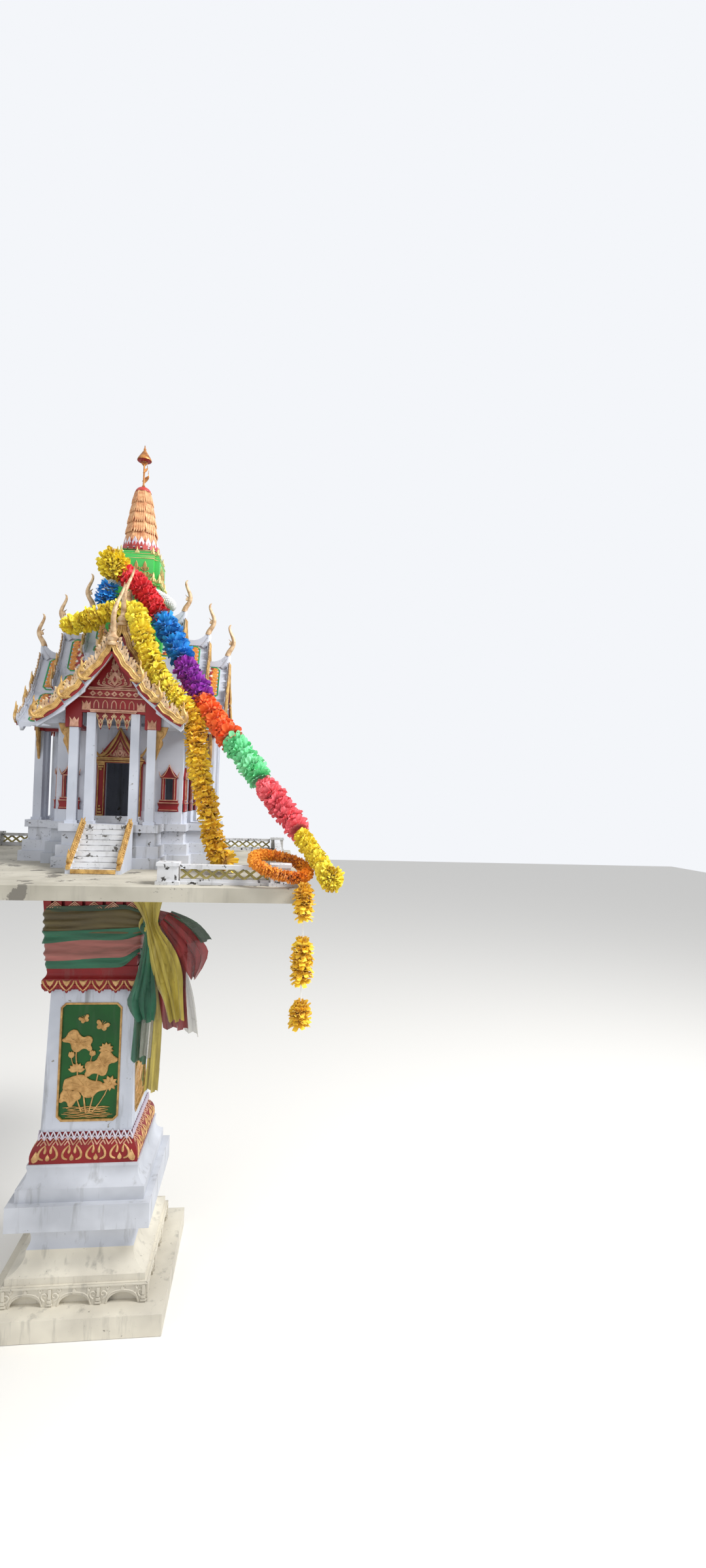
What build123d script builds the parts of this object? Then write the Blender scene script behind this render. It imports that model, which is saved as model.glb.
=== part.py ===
"""Spirit house: a small four-gabled shrine on a slab that one carved pillar carries.

Millimetres, +Z up, the doorway faces -Y. The origin is on the ground under the
middle of the pillar. The house stands a little right of and behind that middle.
"""

from build123d import *
import math
import os

os.makedirs("parts", exist_ok=True)

# Pedestal, from the ground up
plinth_width = 552
plinth_height = 66
lion_band_width = 436
lion_band_height = 84
lion_arch_width = 92
lion_arch_height = 34
lion_arch_count = 3
base_cyma_height = 58
waist_width = 330
waist_height = 86
cap_plate_width = 436
cap_plate_height = 78
step_width = 392
step_lip_height = 41
step_cove_height = 55
step_top_width = 344
step_fillet_height = 8

# Lotus foot, shaft and capital
foot_width = 334
foot_height = 89
foot_tip_height = 26
foot_tip_count = 12
shaft_bottom_width = 284
shaft_top_width = 260
shaft_height = 452
panel_width = 194
panel_height = 378
panel_foot_gap = 32
panel_corner_cut = 15
panel_recess = 6
panel_frame_width = 6
fringe_width = 307
fringe_height = 66
fringe_tooth_count = 6
fringe_tooth_height = 16
capital_neck_width = 286
capital_band_height = 66
capital_top_width = 320
capital_flare_height = 235
capital_petal_count = 9
capital_petal_depth = 4

# Slab and its balustrade
slab_width = 1300
slab_thickness = 40
rail_inset = 30
post_width = 62
post_height = 58
post_step = 9
rail_width = 24
rail_foot_height = 14
rail_top_height = 11
rail_panel_height = 27
lattice_bar = 6
lattice_depth = 8
entrance_half_width = 262

# House position on the slab, and its platform
house_right = 54
house_back = 112
arm_half_width = 150
core_half_width = 222
side_arm_reach = 318
front_arm_reach = 354
platform_foot_height = 34
platform_bevel_height = 36
platform_neck_height = 43
platform_top_height = 24
platform_foot_spread = 14
platform_neck_inset = 9

# Stair and its naga rails
stair_half_width = 78
stair_run = 152
stair_step_count = 9
naga_rail_width = 15
naga_rail_height = 20
naga_tail_height = 24
naga_foot_height = 30

# Walls, door and windows
wall_half_width = 204
wall_thickness = 14
wall_height = 312
wall_base_height = 40
wall_base_proud = 8
floor_thickness = 12
ceiling_thickness = 14
door_width = 94
door_height = 176
door_sill = 22
door_frame_width = 26
door_frame_depth = 9
door_step_depth = 15
window_width = 26
window_height = 74
window_sill = 80
window_offset = 160
window_frame_width = 12
window_frame_depth = 6
pediment_rise = 0.76

# Porches
column_width = 27
column_plinth_width = 35
column_plinth_height = 9
inner_column_offset = 67.5
outer_column_offset = 119
inner_column_height = 350
side_beam_height = 10
side_porch_reach = 300
front_porch_reach = 336
beam_height = 48
gable_wall_thickness = 13

# Roof: three gabled tiers over each arm
outer_ridge = 581
front_outer_ridge = 562
middle_ridge = 656
inner_ridge = 737
upper_fall = 136
skirt_fall = 52
middle_half_width = 112
middle_fall = 138
inner_half_width = 84
inner_fall = 105
outer_reach = 336
front_outer_reach = 395
middle_reach = 262
inner_reach = 173
eave_half_width = 222
roof_shell = 15
roof_edge = 10
skirt_step = 8
bargeboard_thickness = 12
bargeboard_rise = 11
bargeboard_depth = 15
crest_width = 15
crest_height = 13
crest_upturn = 34
crest_upturn_length = 46
horn_thickness = 9
side_horn_height = 138
front_horn_height = 178
hang_horn_height = 42
tooth_pitch = 21
tooth_height = 15
horn_swell = 0.16
bracket_height = 96
bracket_width = 34

# Crossing tower and spire
tower_foot_half = 98
tower_foot_height = 52
tower_foot_depth = 165
tower_tier_half = 78
tower_tier_height = 154
tower_rim_half = 68
tower_rim_height = 26
tower_notch = 18
lotus_band_half = 63
lotus_band_height = 42
spire_foot_half = 57
spire_top_half = 29
spire_height = 190
spire_tier_count = 5
spire_tier_flare = 5
spire_dome_height = 21
pole_radius = 4.5
pole_height = 157
umbrella_radius = 26
umbrella_height = 39
umbrella_foot = 99

# Soft things hung on the house
clearance = 0.3
garland_radius = 32
small_garland_radius = 29
marigold_radius = 15
marigold_lean = 19
ring_lift = 2.3
ring_radius = 75
bloom_drop = 350
rope_ring_radius = 118
rope_radius = 15
rope_lean = 14
wrap_thickness = 11
wrap_height = 205
tail_thickness = 12
sash_tail_outline = [
    (95, 1240), (165, 1250), (190, 1180), (300, 1150), (310, 1060), (255, 975), (205, 955), (175, 880),
    (160, 700), (135, 700), (128, 1000), (110, 1100),
]
bloom_radius = 16

# Heights that follow from the sizes above
lion_band_foot = plinth_height
cyma_foot = lion_band_foot + lion_band_height
waist_foot = cyma_foot + base_cyma_height
plate_foot = waist_foot + waist_height
step_foot = plate_foot + cap_plate_height
lotus_foot_level = step_foot + step_lip_height + step_cove_height + step_fillet_height
shaft_foot = lotus_foot_level + foot_height
capital_foot = shaft_foot + shaft_height
band_foot = capital_foot + fringe_height
flare_foot = band_foot + capital_band_height
slab_foot = flare_foot + capital_flare_height
slab_top = slab_foot + slab_thickness
platform_height = platform_foot_height + platform_bevel_height + platform_neck_height + platform_top_height
floor_level = slab_top + platform_height
ceiling_level = floor_level + wall_height
outer_column_height = wall_height - side_beam_height

SIDES = {"front": -90, "right": 0, "back": 90, "left": 180}


def save(piece, name):
    """Label a finished piece and write it."""
    piece.part.label = name
    export_step(piece.part, f"parts/{name}.step")


def outline(points):
    """Face whose right edge runs through (half width, height, sagitta to the next point)."""
    foot, top = points[0], points[-1]
    with BuildLine() as edge:
        Line((0, foot[1]), foot[:2])
        for (x0, y0, bulge), (x1, y1, _) in zip(points, points[1:]):
            if bulge:
                SagittaArc((x0, y0), (x1, y1), bulge)
            else:
                Line((x0, y0), (x1, y1))
        Line(top[:2], (0, top[1]))
        mirror(about=Plane.YZ)
    make_face(edge.edges())


def square_turned(points, centre=(0, 0)):
    """Solid of square plan whose four sides all follow the same moulded outline."""
    reach = 2 * max(point[0] for point in points)
    with BuildPart() as piece:
        with BuildSketch(Plane(origin=(*centre, 0), x_dir=(1, 0, 0), z_dir=(0, -1, 0))):
            outline(points)
        extrude(amount=reach, both=True)
        with BuildSketch(Plane(origin=(*centre, 0), x_dir=(0, 1, 0), z_dir=(1, 0, 0))):
            outline(points)
        extrude(amount=reach, both=True, mode=Mode.INTERSECT)
    return piece


def facing(side, reach, centre=(house_right, house_back)):
    """Upright plane that faces outwards on one side, its own x to the viewer's right."""
    turn = math.radians(SIDES[side])
    outward = (round(math.cos(turn), 9), round(math.sin(turn), 9), 0)
    along = (-outward[1], outward[0], 0)
    origin = (centre[0] + outward[0] * reach, centre[1] + outward[1] * reach, 0)
    return Plane(origin=origin, x_dir=along, z_dir=outward)


def along_arm(side, offset=0):
    """Upright plane through an arm's middle line: its own x runs outwards."""
    turn = math.radians(SIDES[side])
    outward = (round(math.cos(turn), 9), round(math.sin(turn), 9), 0)
    normal = (outward[1], -outward[0], 0)
    origin = (house_right + normal[0] * offset, house_back + normal[1] * offset, 0)
    return Plane(origin=origin, x_dir=outward, z_dir=normal)


# Pedestal: a low plinth, a lion-foot band with arched feet and a cyma up to the waist
with BuildPart() as plinth_base:
    add(square_turned([
        (plinth_width / 2, 0, 0),
        (plinth_width / 2, plinth_height, 0),
        (lion_band_width / 2, lion_band_foot, 0),
        (lion_band_width / 2, cyma_foot - lion_band_height / 4, 0),
        (lion_band_width / 2 - base_cyma_height / 8, cyma_foot - lion_band_height / 4, 0),
        (lion_band_width / 2 - base_cyma_height / 8, cyma_foot, base_cyma_height / 4),
        (waist_width / 2, waist_foot, 0),
    ]).part)
    arch_pitch = lion_band_width / lion_arch_count
    for side in SIDES:
        with BuildSketch(facing(side, lion_band_width / 2, (0, 0))):
            with Locations(*[((place - (lion_arch_count - 1) / 2) * arch_pitch, lion_band_foot)
                             for place in range(lion_arch_count)]):
                Ellipse(lion_arch_width / 2, lion_arch_height)
            with Locations((0, lion_band_foot / 2)):
                Rectangle(plinth_width, plinth_height, mode=Mode.SUBTRACT)
        extrude(amount=-lion_arch_height / 2, mode=Mode.SUBTRACT)
save(plinth_base, "plinth_base")

# The waist sweeps out under a thick plate
plinth_cap = square_turned([
    (waist_width / 2, waist_foot, waist_height / 3.2),
    (cap_plate_width / 2 - step_fillet_height * 2, plate_foot, 0),
    (cap_plate_width / 2, plate_foot, 0),
    (cap_plate_width / 2, step_foot, 0),
])
save(plinth_cap, "plinth_cap")

# Coved step between the plate and the lotus foot
pillar_step = square_turned([
    (step_width / 2, step_foot, 0),
    (step_width / 2, step_foot + step_lip_height, step_cove_height / 5),
    (step_top_width / 2, lotus_foot_level - step_fillet_height, 0),
    (step_top_width / 2, lotus_foot_level, 0),
])
save(pillar_step, "pillar_step")

# Lotus foot: flares downwards, with a ring of petal tips that stands against the shaft
shaft_slope = (shaft_bottom_width - shaft_top_width) / 2 / shaft_height
foot_top_width = shaft_bottom_width + foot_tip_height / 3
with BuildPart() as lotus_foot:
    add(square_turned([
        (foot_width / 2, lotus_foot_level, 0),
        (foot_width / 2 - step_fillet_height / 8, lotus_foot_level + step_fillet_height, -foot_height / 12),
        (foot_top_width / 2, shaft_foot - foot_tip_height, 0),
        (foot_top_width / 2, shaft_foot, 0),
    ]).part)
    tip_pitch = foot_top_width / foot_tip_count
    for side in SIDES:
        with BuildSketch(facing(side, foot_top_width / 2, (0, 0))):
            with Locations(*[((place - foot_tip_count / 2) * tip_pitch, shaft_foot)
                             for place in range(foot_tip_count + 1)]):
                Polygon((-tip_pitch / 2, 0), (0, -foot_tip_height), (tip_pitch / 2, 0), align=None)
        extrude(amount=-foot_tip_height / 6, mode=Mode.SUBTRACT)
save(lotus_foot, "lotus_foot")


def panel_outline(width, height, corner):
    """Rectangle with its corners cut, its foot on the plane's origin."""
    with Locations((0, height / 2)):
        with BuildSketch(mode=Mode.PRIVATE) as plate:
            Rectangle(width, height)
            chamfer(plate.vertices(), corner)
        add(plate.sketch)


# Battered shaft with a sunk panel on each side, and the raised frame of each panel
panel_foot_level = shaft_foot + panel_foot_gap


def shaft_face(side, depth=0):
    """Plane on one battered side of the shaft, at the foot of its panel."""
    flat = facing(side, shaft_bottom_width / 2 - shaft_slope * panel_foot_gap, (0, 0))
    normal = flat.z_dir + Vector(0, 0, shaft_slope)
    plane = Plane(origin=flat.origin + Vector(0, 0, panel_foot_level), x_dir=flat.x_dir, z_dir=normal)
    return plane.offset(-depth)


with BuildPart() as pillar_shaft:
    add(square_turned([
        (shaft_bottom_width / 2, shaft_foot, 0),
        (shaft_top_width / 2, capital_foot, 0),
    ]).part)
    for side in SIDES:
        with BuildSketch(shaft_face(side)):
            panel_outline(panel_width, panel_height, panel_corner_cut)
        extrude(amount=-panel_recess, mode=Mode.SUBTRACT)
save(pillar_shaft, "pillar_shaft")

with BuildPart() as panel_frames:
    for side in SIDES:
        with BuildSketch(shaft_face(side, panel_recess)):
            panel_outline(panel_width - clearance, panel_height, panel_corner_cut)
            with Locations((0, panel_frame_width)):
                with BuildSketch(mode=Mode.PRIVATE) as hole:
                    with Locations((0, panel_height / 2 - panel_frame_width)):
                        Rectangle(panel_width - 2 * panel_frame_width, panel_height - 2 * panel_frame_width)
                    chamfer(hole.vertices(), panel_corner_cut - panel_frame_width / 2)
                add(hole.sketch, mode=Mode.SUBTRACT)
        extrude(amount=panel_recess + panel_frame_width / 3)
save(panel_frames, "panel_frames")

# Capital: a toothed fringe under a cyma, then a band, then a tall flare of petals
neck_half = capital_neck_width / 2
fringe_half = fringe_width / 2
with BuildPart() as capital_fringe:
    add(square_turned([
        (fringe_half - fringe_tooth_height / 4, capital_foot, 0),
        (fringe_half, capital_foot + fringe_height / 2, 0),
        (fringe_half - fringe_tooth_height / 8, capital_foot + fringe_height * 0.6, fringe_height / 14),
        (neck_half, band_foot, 0),
    ]).part)
    fringe_pitch = fringe_width / fringe_tooth_count
    for side in SIDES:
        with BuildSketch(facing(side, fringe_half, (0, 0))):
            with Locations(*[((place - fringe_tooth_count / 2) * fringe_pitch, capital_foot)
                             for place in range(fringe_tooth_count + 1)]):
                Polygon((-fringe_pitch / 2, 0), (0, fringe_tooth_height), (fringe_pitch / 2, 0), align=None)
        extrude(amount=-(fringe_width - shaft_top_width) / 2, mode=Mode.SUBTRACT)
save(capital_fringe, "capital_fringe")

top_half = capital_top_width / 2
petal_row_foot = flare_foot + capital_flare_height / 4
with BuildPart() as capital_flare:
    add(square_turned([
        (neck_half, band_foot, 0),
        (neck_half, band_foot + capital_band_height / 5, 0),
        (neck_half - capital_petal_depth, band_foot + capital_band_height / 5, 0),
        (neck_half - capital_petal_depth, flare_foot - capital_band_height / 5, 0),
        (neck_half + capital_petal_depth, flare_foot - capital_band_height / 5, 0),
        (neck_half + capital_petal_depth, flare_foot, 0),
        (neck_half, flare_foot, 0),
        (neck_half + capital_petal_depth, petal_row_foot, -capital_flare_height / 90),
        (top_half, slab_foot - step_fillet_height, 0),
        (top_half, slab_foot, 0),
    ]).part)
    petal_pitch = capital_neck_width / capital_petal_count
    for side in SIDES:
        with BuildSketch(facing(side, top_half, (0, 0))):
            with Locations(*[((place - (capital_petal_count - 1) / 2) * petal_pitch,
                              petal_row_foot + capital_flare_height / 2.6)
                             for place in range(capital_petal_count)]):
                SlotOverall(capital_flare_height / 1.7, petal_pitch / 3, rotation=90)
        extrude(amount=-(top_half - neck_half), mode=Mode.SUBTRACT)
save(capital_flare, "capital_flare")

# Slab that the pillar carries
with BuildPart() as table_slab:
    with BuildSketch(Plane.XY.offset(slab_foot)):
        Rectangle(slab_width, slab_width)
    extrude(amount=slab_thickness)
    chamfer(table_slab.edges().group_by(Axis.Z)[-1], step_fillet_height / 4)
save(table_slab, "table_slab")

# Balustrade round the slab, open in front of the stair: posts, mouldings and lattices
rail_line = slab_width / 2 - rail_inset - post_width / 2
post_places = [(x, y) for x in (-rail_line, rail_line) for y in (-rail_line, rail_line)]
entrance_post = entrance_half_width + post_width / 2
post_places += [(-entrance_post, -rail_line), (entrance_post, -rail_line)]
front_run = rail_line - entrance_post - post_width
side_run = 2 * rail_line - post_width
rail_runs = [
    ((rail_line + entrance_post) / 2, -rail_line, front_run, 0),
    (-(rail_line + entrance_post) / 2, -rail_line, front_run, 0),
    (rail_line, 0, side_run, 90),
    (-rail_line, 0, side_run, 90),
    (0, rail_line, side_run, 0),
]
rail_height = rail_foot_height + rail_panel_height + rail_top_height

with BuildPart() as balustrade_posts:
    with BuildSketch(Plane.XY.offset(slab_top)):
        with Locations(*post_places):
            Rectangle(post_width, post_width)
    extrude(amount=post_step)
    with BuildSketch(Plane.XY.offset(slab_top + post_step)):
        with Locations(*post_places):
            Rectangle(post_width - post_step, post_width - post_step)
    extrude(amount=post_height - 2 * post_step)
    with BuildSketch(Plane.XY.offset(slab_top + post_height - post_step)):
        with Locations(*post_places):
            Rectangle(post_width - post_step / 3, post_width - post_step / 3)
    extrude(amount=post_step)
save(balustrade_posts, "balustrade_posts")


def rail_bars(width, length_change=0):
    """Plan of every run of the balustrade, one straight bar each."""
    for x, y, length, turn in rail_runs:
        with Locations(Location((x, y, 0), (0, 0, turn))):
            Rectangle(length + length_change, width)


with BuildPart() as balustrade_rails:
    with BuildSketch(Plane.XY.offset(slab_top)):
        rail_bars(rail_width + lattice_bar)
    extrude(amount=rail_foot_height / 2)
    with BuildSketch(Plane.XY.offset(slab_top + rail_foot_height / 2)):
        rail_bars(rail_width)
    extrude(amount=rail_foot_height / 2)
    with BuildSketch(Plane.XY.offset(slab_top + rail_foot_height + rail_panel_height)):
        rail_bars(rail_width)
    extrude(amount=rail_top_height)
save(balustrade_rails, "balustrade_rails")


def lattice_run(x, y, length, turn):
    """Crossed bars in one run, from the foot moulding up to the rail."""
    normal = (math.sin(math.radians(turn)), -math.cos(math.radians(turn)), 0)
    along = (math.cos(math.radians(turn)), math.sin(math.radians(turn)), 0)
    middle = slab_top + rail_foot_height + rail_panel_height / 2
    plane = Plane(origin=(x, y, middle), x_dir=along, z_dir=normal)
    count = max(1, round(length / (rail_panel_height * 1.25)))
    pitch = length / count
    slant = math.degrees(math.atan2(rail_panel_height, pitch))
    bar_length = math.hypot(pitch, rail_panel_height)
    with BuildSketch(plane) as bars:
        with Locations(*[((place - (count - 1) / 2) * pitch, 0) for place in range(count)]):
            Rectangle(bar_length, lattice_bar, rotation=slant)
            Rectangle(bar_length, lattice_bar, rotation=-slant)
        Rectangle(length, rail_panel_height, mode=Mode.INTERSECT)
    extrude(bars.sketch, amount=lattice_depth / 2, both=True)


with BuildPart() as balustrade_lattice:
    for run in rail_runs:
        lattice_run(*run)
save(balustrade_lattice, "balustrade_lattice")

# Platform with a cross-shaped plan in four moulded courses


def platform_plan(spread):
    """Cross-shaped plan of the house, grown by a spread on every side."""
    Rectangle(2 * (side_arm_reach + spread), 2 * (arm_half_width + spread))
    Rectangle(2 * (core_half_width + spread), 2 * (core_half_width + spread))
    with Locations((0, (side_arm_reach - front_arm_reach) / 2)):
        Rectangle(2 * (arm_half_width + spread), side_arm_reach + front_arm_reach + 2 * spread)


platform_courses = [
    (platform_foot_height, platform_foot_spread),
    (platform_bevel_height, platform_foot_spread / 3),
    (platform_neck_height, -platform_neck_inset),
    (platform_top_height, 0),
]
with BuildPart() as house_platform:
    level = slab_top
    for course_height, spread in platform_courses:
        with BuildSketch(Plane(origin=(house_right, house_back, level))):
            platform_plan(spread)
        extrude(amount=course_height)
        level += course_height
save(house_platform, "house_platform")

# Stair of shallow steps between two cheeks, up to the platform
stair_top = front_arm_reach + platform_foot_spread
step_rise = platform_height / stair_step_count
step_going = stair_run / stair_step_count
tread_half = stair_half_width - naga_rail_width
with BuildPart() as stair_flight:
    with BuildSketch(along_arm("front")):
        with BuildLine():
            corners = [(stair_top, slab_top), (stair_top + stair_run, slab_top)]
            for step in range(stair_step_count):
                height = slab_top + (step + 1) * step_rise
                corners.append((stair_top + stair_run - step * step_going, height))
                corners.append((stair_top + stair_run - (step + 1) * step_going, height))
            Polyline(*corners, close=True)
        make_face()
    extrude(amount=tread_half, both=True)
save(stair_flight, "stair_flight")

# Cheeks of the stair, and the naga whose body runs down each as a rail
cheek_foot_height = naga_foot_height
for hand, place in (("left", 1), ("right", -1)):
    with BuildPart() as stair_cheek:
        with BuildSketch(along_arm("front", place * (tread_half + naga_rail_width / 2))):
            Polygon(
                (stair_top, slab_top),
                (stair_top + stair_run, slab_top),
                (stair_top + stair_run, slab_top + cheek_foot_height / 2),
                (stair_top, floor_level),
                align=None,
            )
        extrude(amount=naga_rail_width / 2, both=True)
    save(stair_cheek, f"stair_cheek_{hand}")

    with BuildPart() as naga_rail:
        with BuildSketch(along_arm("front", place * (tread_half + naga_rail_width / 2))):
            with BuildLine():
                foot = (stair_top + stair_run, slab_top + cheek_foot_height / 2)
                head = (stair_top, floor_level)
                Line(foot, head)
                Line(head, (stair_top - step_going, floor_level + naga_tail_height))
                SagittaArc((stair_top - step_going, floor_level + naga_tail_height),
                           (stair_top + step_going, floor_level + naga_rail_height / 3),
                           -naga_rail_height / 5)
                Line((stair_top + step_going, floor_level + naga_rail_height / 3),
                     (foot[0] - step_going, foot[1] + step_rise + naga_rail_height))
                Line((foot[0] - step_going, foot[1] + step_rise + naga_rail_height),
                     (foot[0], foot[1] + naga_rail_height))
                Line((foot[0], foot[1] + naga_rail_height), foot)
            make_face()
        extrude(amount=naga_rail_width / 2, both=True)
    save(naga_rail, f"naga_rail_{hand}")

# Walls of the room. The front one has the doorway, and all have windows cut through
window_places = {
    "front": (-window_offset, window_offset),
    "right": (-window_offset, 0, window_offset),
    "back": (-window_offset, 0, window_offset),
    "left": (-window_offset, 0, window_offset),
}
window_foot_level = floor_level + window_sill
door_jamb_place = (door_width + door_frame_width) / 2
for side in SIDES:
    across = side in ("front", "back")
    length = 2 * wall_half_width if across else 2 * (wall_half_width - wall_thickness)
    with BuildPart() as wall:
        with BuildSketch(facing(side, wall_half_width)):
            with Locations((0, floor_level + wall_height / 2)):
                Rectangle(length, wall_height)
            window_middle = window_foot_level + window_height / 2
            with Locations(*[(place, window_middle) for place in window_places[side]]):
                Rectangle(window_width, window_height, mode=Mode.SUBTRACT)
            if side == "front":
                with Locations((0, floor_level + door_sill + door_height / 2)):
                    Rectangle(door_width, door_height, mode=Mode.SUBTRACT)
        extrude(amount=-wall_thickness)
        with BuildSketch(facing(side, wall_half_width)):
            with Locations((0, floor_level + wall_base_height / 2)):
                Rectangle(length, wall_base_height)
            if side == "front":
                with Locations((0, floor_level + wall_base_height / 2)):
                    Rectangle(door_width + 2 * door_frame_width, wall_base_height, mode=Mode.SUBTRACT)
        extrude(amount=wall_base_proud)
    save(wall, f"{side}_wall")

room_half = wall_half_width - wall_thickness
with BuildPart() as room_floor:
    with BuildSketch(Plane(origin=(house_right, house_back, floor_level))):
        Rectangle(2 * room_half, 2 * room_half)
    extrude(amount=floor_thickness)
save(room_floor, "room_floor")

with BuildPart() as room_ceiling:
    with BuildSketch(Plane(origin=(house_right, house_back, ceiling_level - ceiling_thickness))):
        Rectangle(2 * room_half, 2 * room_half)
    extrude(amount=ceiling_thickness)
save(room_ceiling, "room_ceiling")


def surround(width, height, foot_level, frame_width, place, sill=1):
    """Frame with a pointed pediment over an opening, and a sill under it if asked."""
    outer = width + 2 * frame_width
    gable = outer * pediment_rise
    with BuildSketch(mode=Mode.PRIVATE) as frame:
        with Locations((0, height / 2)):
            Rectangle(outer, height)
        if sill:
            with Locations((0, -sill * frame_width / 2)):
                Rectangle(outer + frame_width, sill * frame_width)
        Polygon((-outer / 2 - frame_width / 2, height), (outer / 2 + frame_width / 2, height),
                (0, height + gable), align=None)
        with Locations((0, height / 2)):
            Rectangle(width, height, mode=Mode.SUBTRACT)
    with Locations((place, foot_level)):
        add(frame.sketch)


with BuildPart() as door_surround:
    with BuildSketch(facing("front", wall_half_width)):
        surround(door_width, door_height, floor_level + door_sill, door_frame_width, 0, sill=0)
        jamb_foot = floor_level + door_sill / 2
        with Locations((-door_jamb_place, jamb_foot), (door_jamb_place, jamb_foot)):
            Rectangle(door_frame_width, door_sill)
    extrude(amount=wall_base_proud + door_frame_depth)
save(door_surround, "door_surround")

with BuildPart() as window_surrounds:
    for side in SIDES:
        with BuildSketch(facing(side, wall_half_width)):
            for place in window_places[side]:
                surround(window_width, window_height, window_foot_level, window_frame_width, place)
        extrude(amount=window_frame_depth)
save(window_surrounds, "window_surrounds")

with BuildPart() as door_step:
    with BuildSketch(facing("front", wall_half_width + wall_base_proud + door_frame_depth)):
        with Locations((0, floor_level + door_sill / 2)):
            Rectangle(door_width + 2 * door_frame_width, door_sill)
    extrude(amount=door_step_depth)
    with BuildSketch(facing("front", wall_half_width + wall_base_proud + door_frame_depth + door_step_depth)):
        with Locations((0, floor_level + door_sill / 4)):
            Rectangle(door_width + 3 * door_frame_width, door_sill / 2)
    extrude(amount=door_step_depth)
save(door_step, "door_step")

# Porches: two tall columns and two shorter ones outside them on every side
porch_groups = {"front": ["front"], "side": ["left", "right"], "back": ["back"]}
porch_reach = {side: front_porch_reach if side == "front" else side_porch_reach for side in SIDES}
column_sizes = [(inner_column_offset, inner_column_height), (outer_column_offset, outer_column_height)]


def upright_posts(side, width, heights):
    """Square posts of one porch from the platform up, one for each column place."""
    grow = (width - column_width) / 2
    for (offset, _), height in zip(column_sizes, heights):
        with BuildSketch(facing(side, porch_reach[side] + grow)) as fronts:
            with Locations((-offset, floor_level + height / 2), (offset, floor_level + height / 2)):
                Rectangle(width, height)
        extrude(fronts.sketch, amount=-width)


for group, sides in porch_groups.items():
    with BuildPart() as columns:
        for side in sides:
            upright_posts(side, column_width, [height for _, height in column_sizes])
            upright_posts(side, column_plinth_width, [column_plinth_height, column_plinth_height])
    save(columns, f"{group}_porch_columns")


# Roof outlines as (half width, height above the floor), from the ridge down to the eave
upper_break = eave_half_width * 0.39
lower_break = eave_half_width * 0.65
break_level = outer_ridge - upper_fall


def outer_line(ridge):
    """Top edge of an outer roof: one steep slope and two skirts below it."""
    return [
        (0, ridge),
        (upper_break, break_level),
        (upper_break, break_level - skirt_step),
        (lower_break, break_level - skirt_step - skirt_fall),
        (lower_break, break_level - 2 * skirt_step - skirt_fall),
        (eave_half_width, wall_height + roof_edge),
    ]


def upper_line(ridge, half_width, fall):
    """Top edge of an upper roof: a steep slope and one skirt."""
    return [
        (0, ridge),
        (half_width * 0.6, ridge - fall),
        (half_width * 0.6, ridge - fall - skirt_step),
        (half_width, ridge - fall * 1.44),
    ]


middle_line = upper_line(middle_ridge, middle_half_width, middle_fall)
inner_line = upper_line(inner_ridge, inner_half_width, inner_fall)
beam_top = inner_column_height + beam_height
shoulder = (inner_column_offset + outer_column_offset) / 2 + column_width / 8
upper_roof_foot = floor_level + beam_top


def both_hands(right):
    """The same closed shape on the right and left of the middle line."""
    for half in (right, [(-x, z) for x, z in right]):
        with BuildLine() as edge:
            Polyline(*half, close=True)
        make_face(edge.edges())


def lifted(line, rise):
    """A roof line moved up, with heights counted from the ground."""
    return [(x, floor_level + z + rise) for x, z in line]


def prism(side, start, end, *shapes):
    """Extrude shapes drawn on one side from one reach to another."""
    with BuildSketch(facing(side, start)) as face:
        for shape in shapes:
            both_hands(shape)
    extrude(face.sketch, amount=end - start)


def full_section(line, foot=ceiling_level):
    """Everything between a roof line and a level foot, the tops of the walls if not told."""
    return lifted(line, 0) + [(line[-1][0], foot), (0, foot)]


def porch_section(line):
    """As the full section, with room under it for the porch beams."""
    raised = floor_level + beam_top
    return lifted(line, 0) + [
        (line[-1][0], ceiling_level), (shoulder, ceiling_level), (shoulder, raised), (0, raised)]


def shell_section(line):
    """The thin roof alone, as it overhangs a gable wall."""
    return lifted(line, 0) + lifted(line, -roof_shell)[::-1]


with BuildPart() as outer_roof:
    for side in SIDES:
        line = outer_line(front_outer_ridge if side == "front" else outer_ridge)
        tip = (front_outer_reach if side == "front" else outer_reach) - bargeboard_thickness
        wall_reach = porch_reach[side] - gable_wall_thickness
        prism(side, 0, wall_half_width, full_section(line))
        prism(side, wall_half_width, wall_reach, porch_section(line))
        prism(side, wall_reach, tip, shell_section(line))
save(outer_roof, "outer_roof")

with BuildPart() as middle_roof:
    for side in SIDES:
        prism(side, 0, middle_reach - bargeboard_thickness, full_section(middle_line, upper_roof_foot))
    add(outer_roof.part, mode=Mode.SUBTRACT)
save(middle_roof, "middle_roof")

with BuildPart() as inner_roof:
    for side in SIDES:
        prism(side, 0, inner_reach - bargeboard_thickness, full_section(inner_line, upper_roof_foot))
    add(outer_roof.part, mode=Mode.SUBTRACT)
    add(middle_roof.part, mode=Mode.SUBTRACT)
save(inner_roof, "inner_roof")

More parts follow.
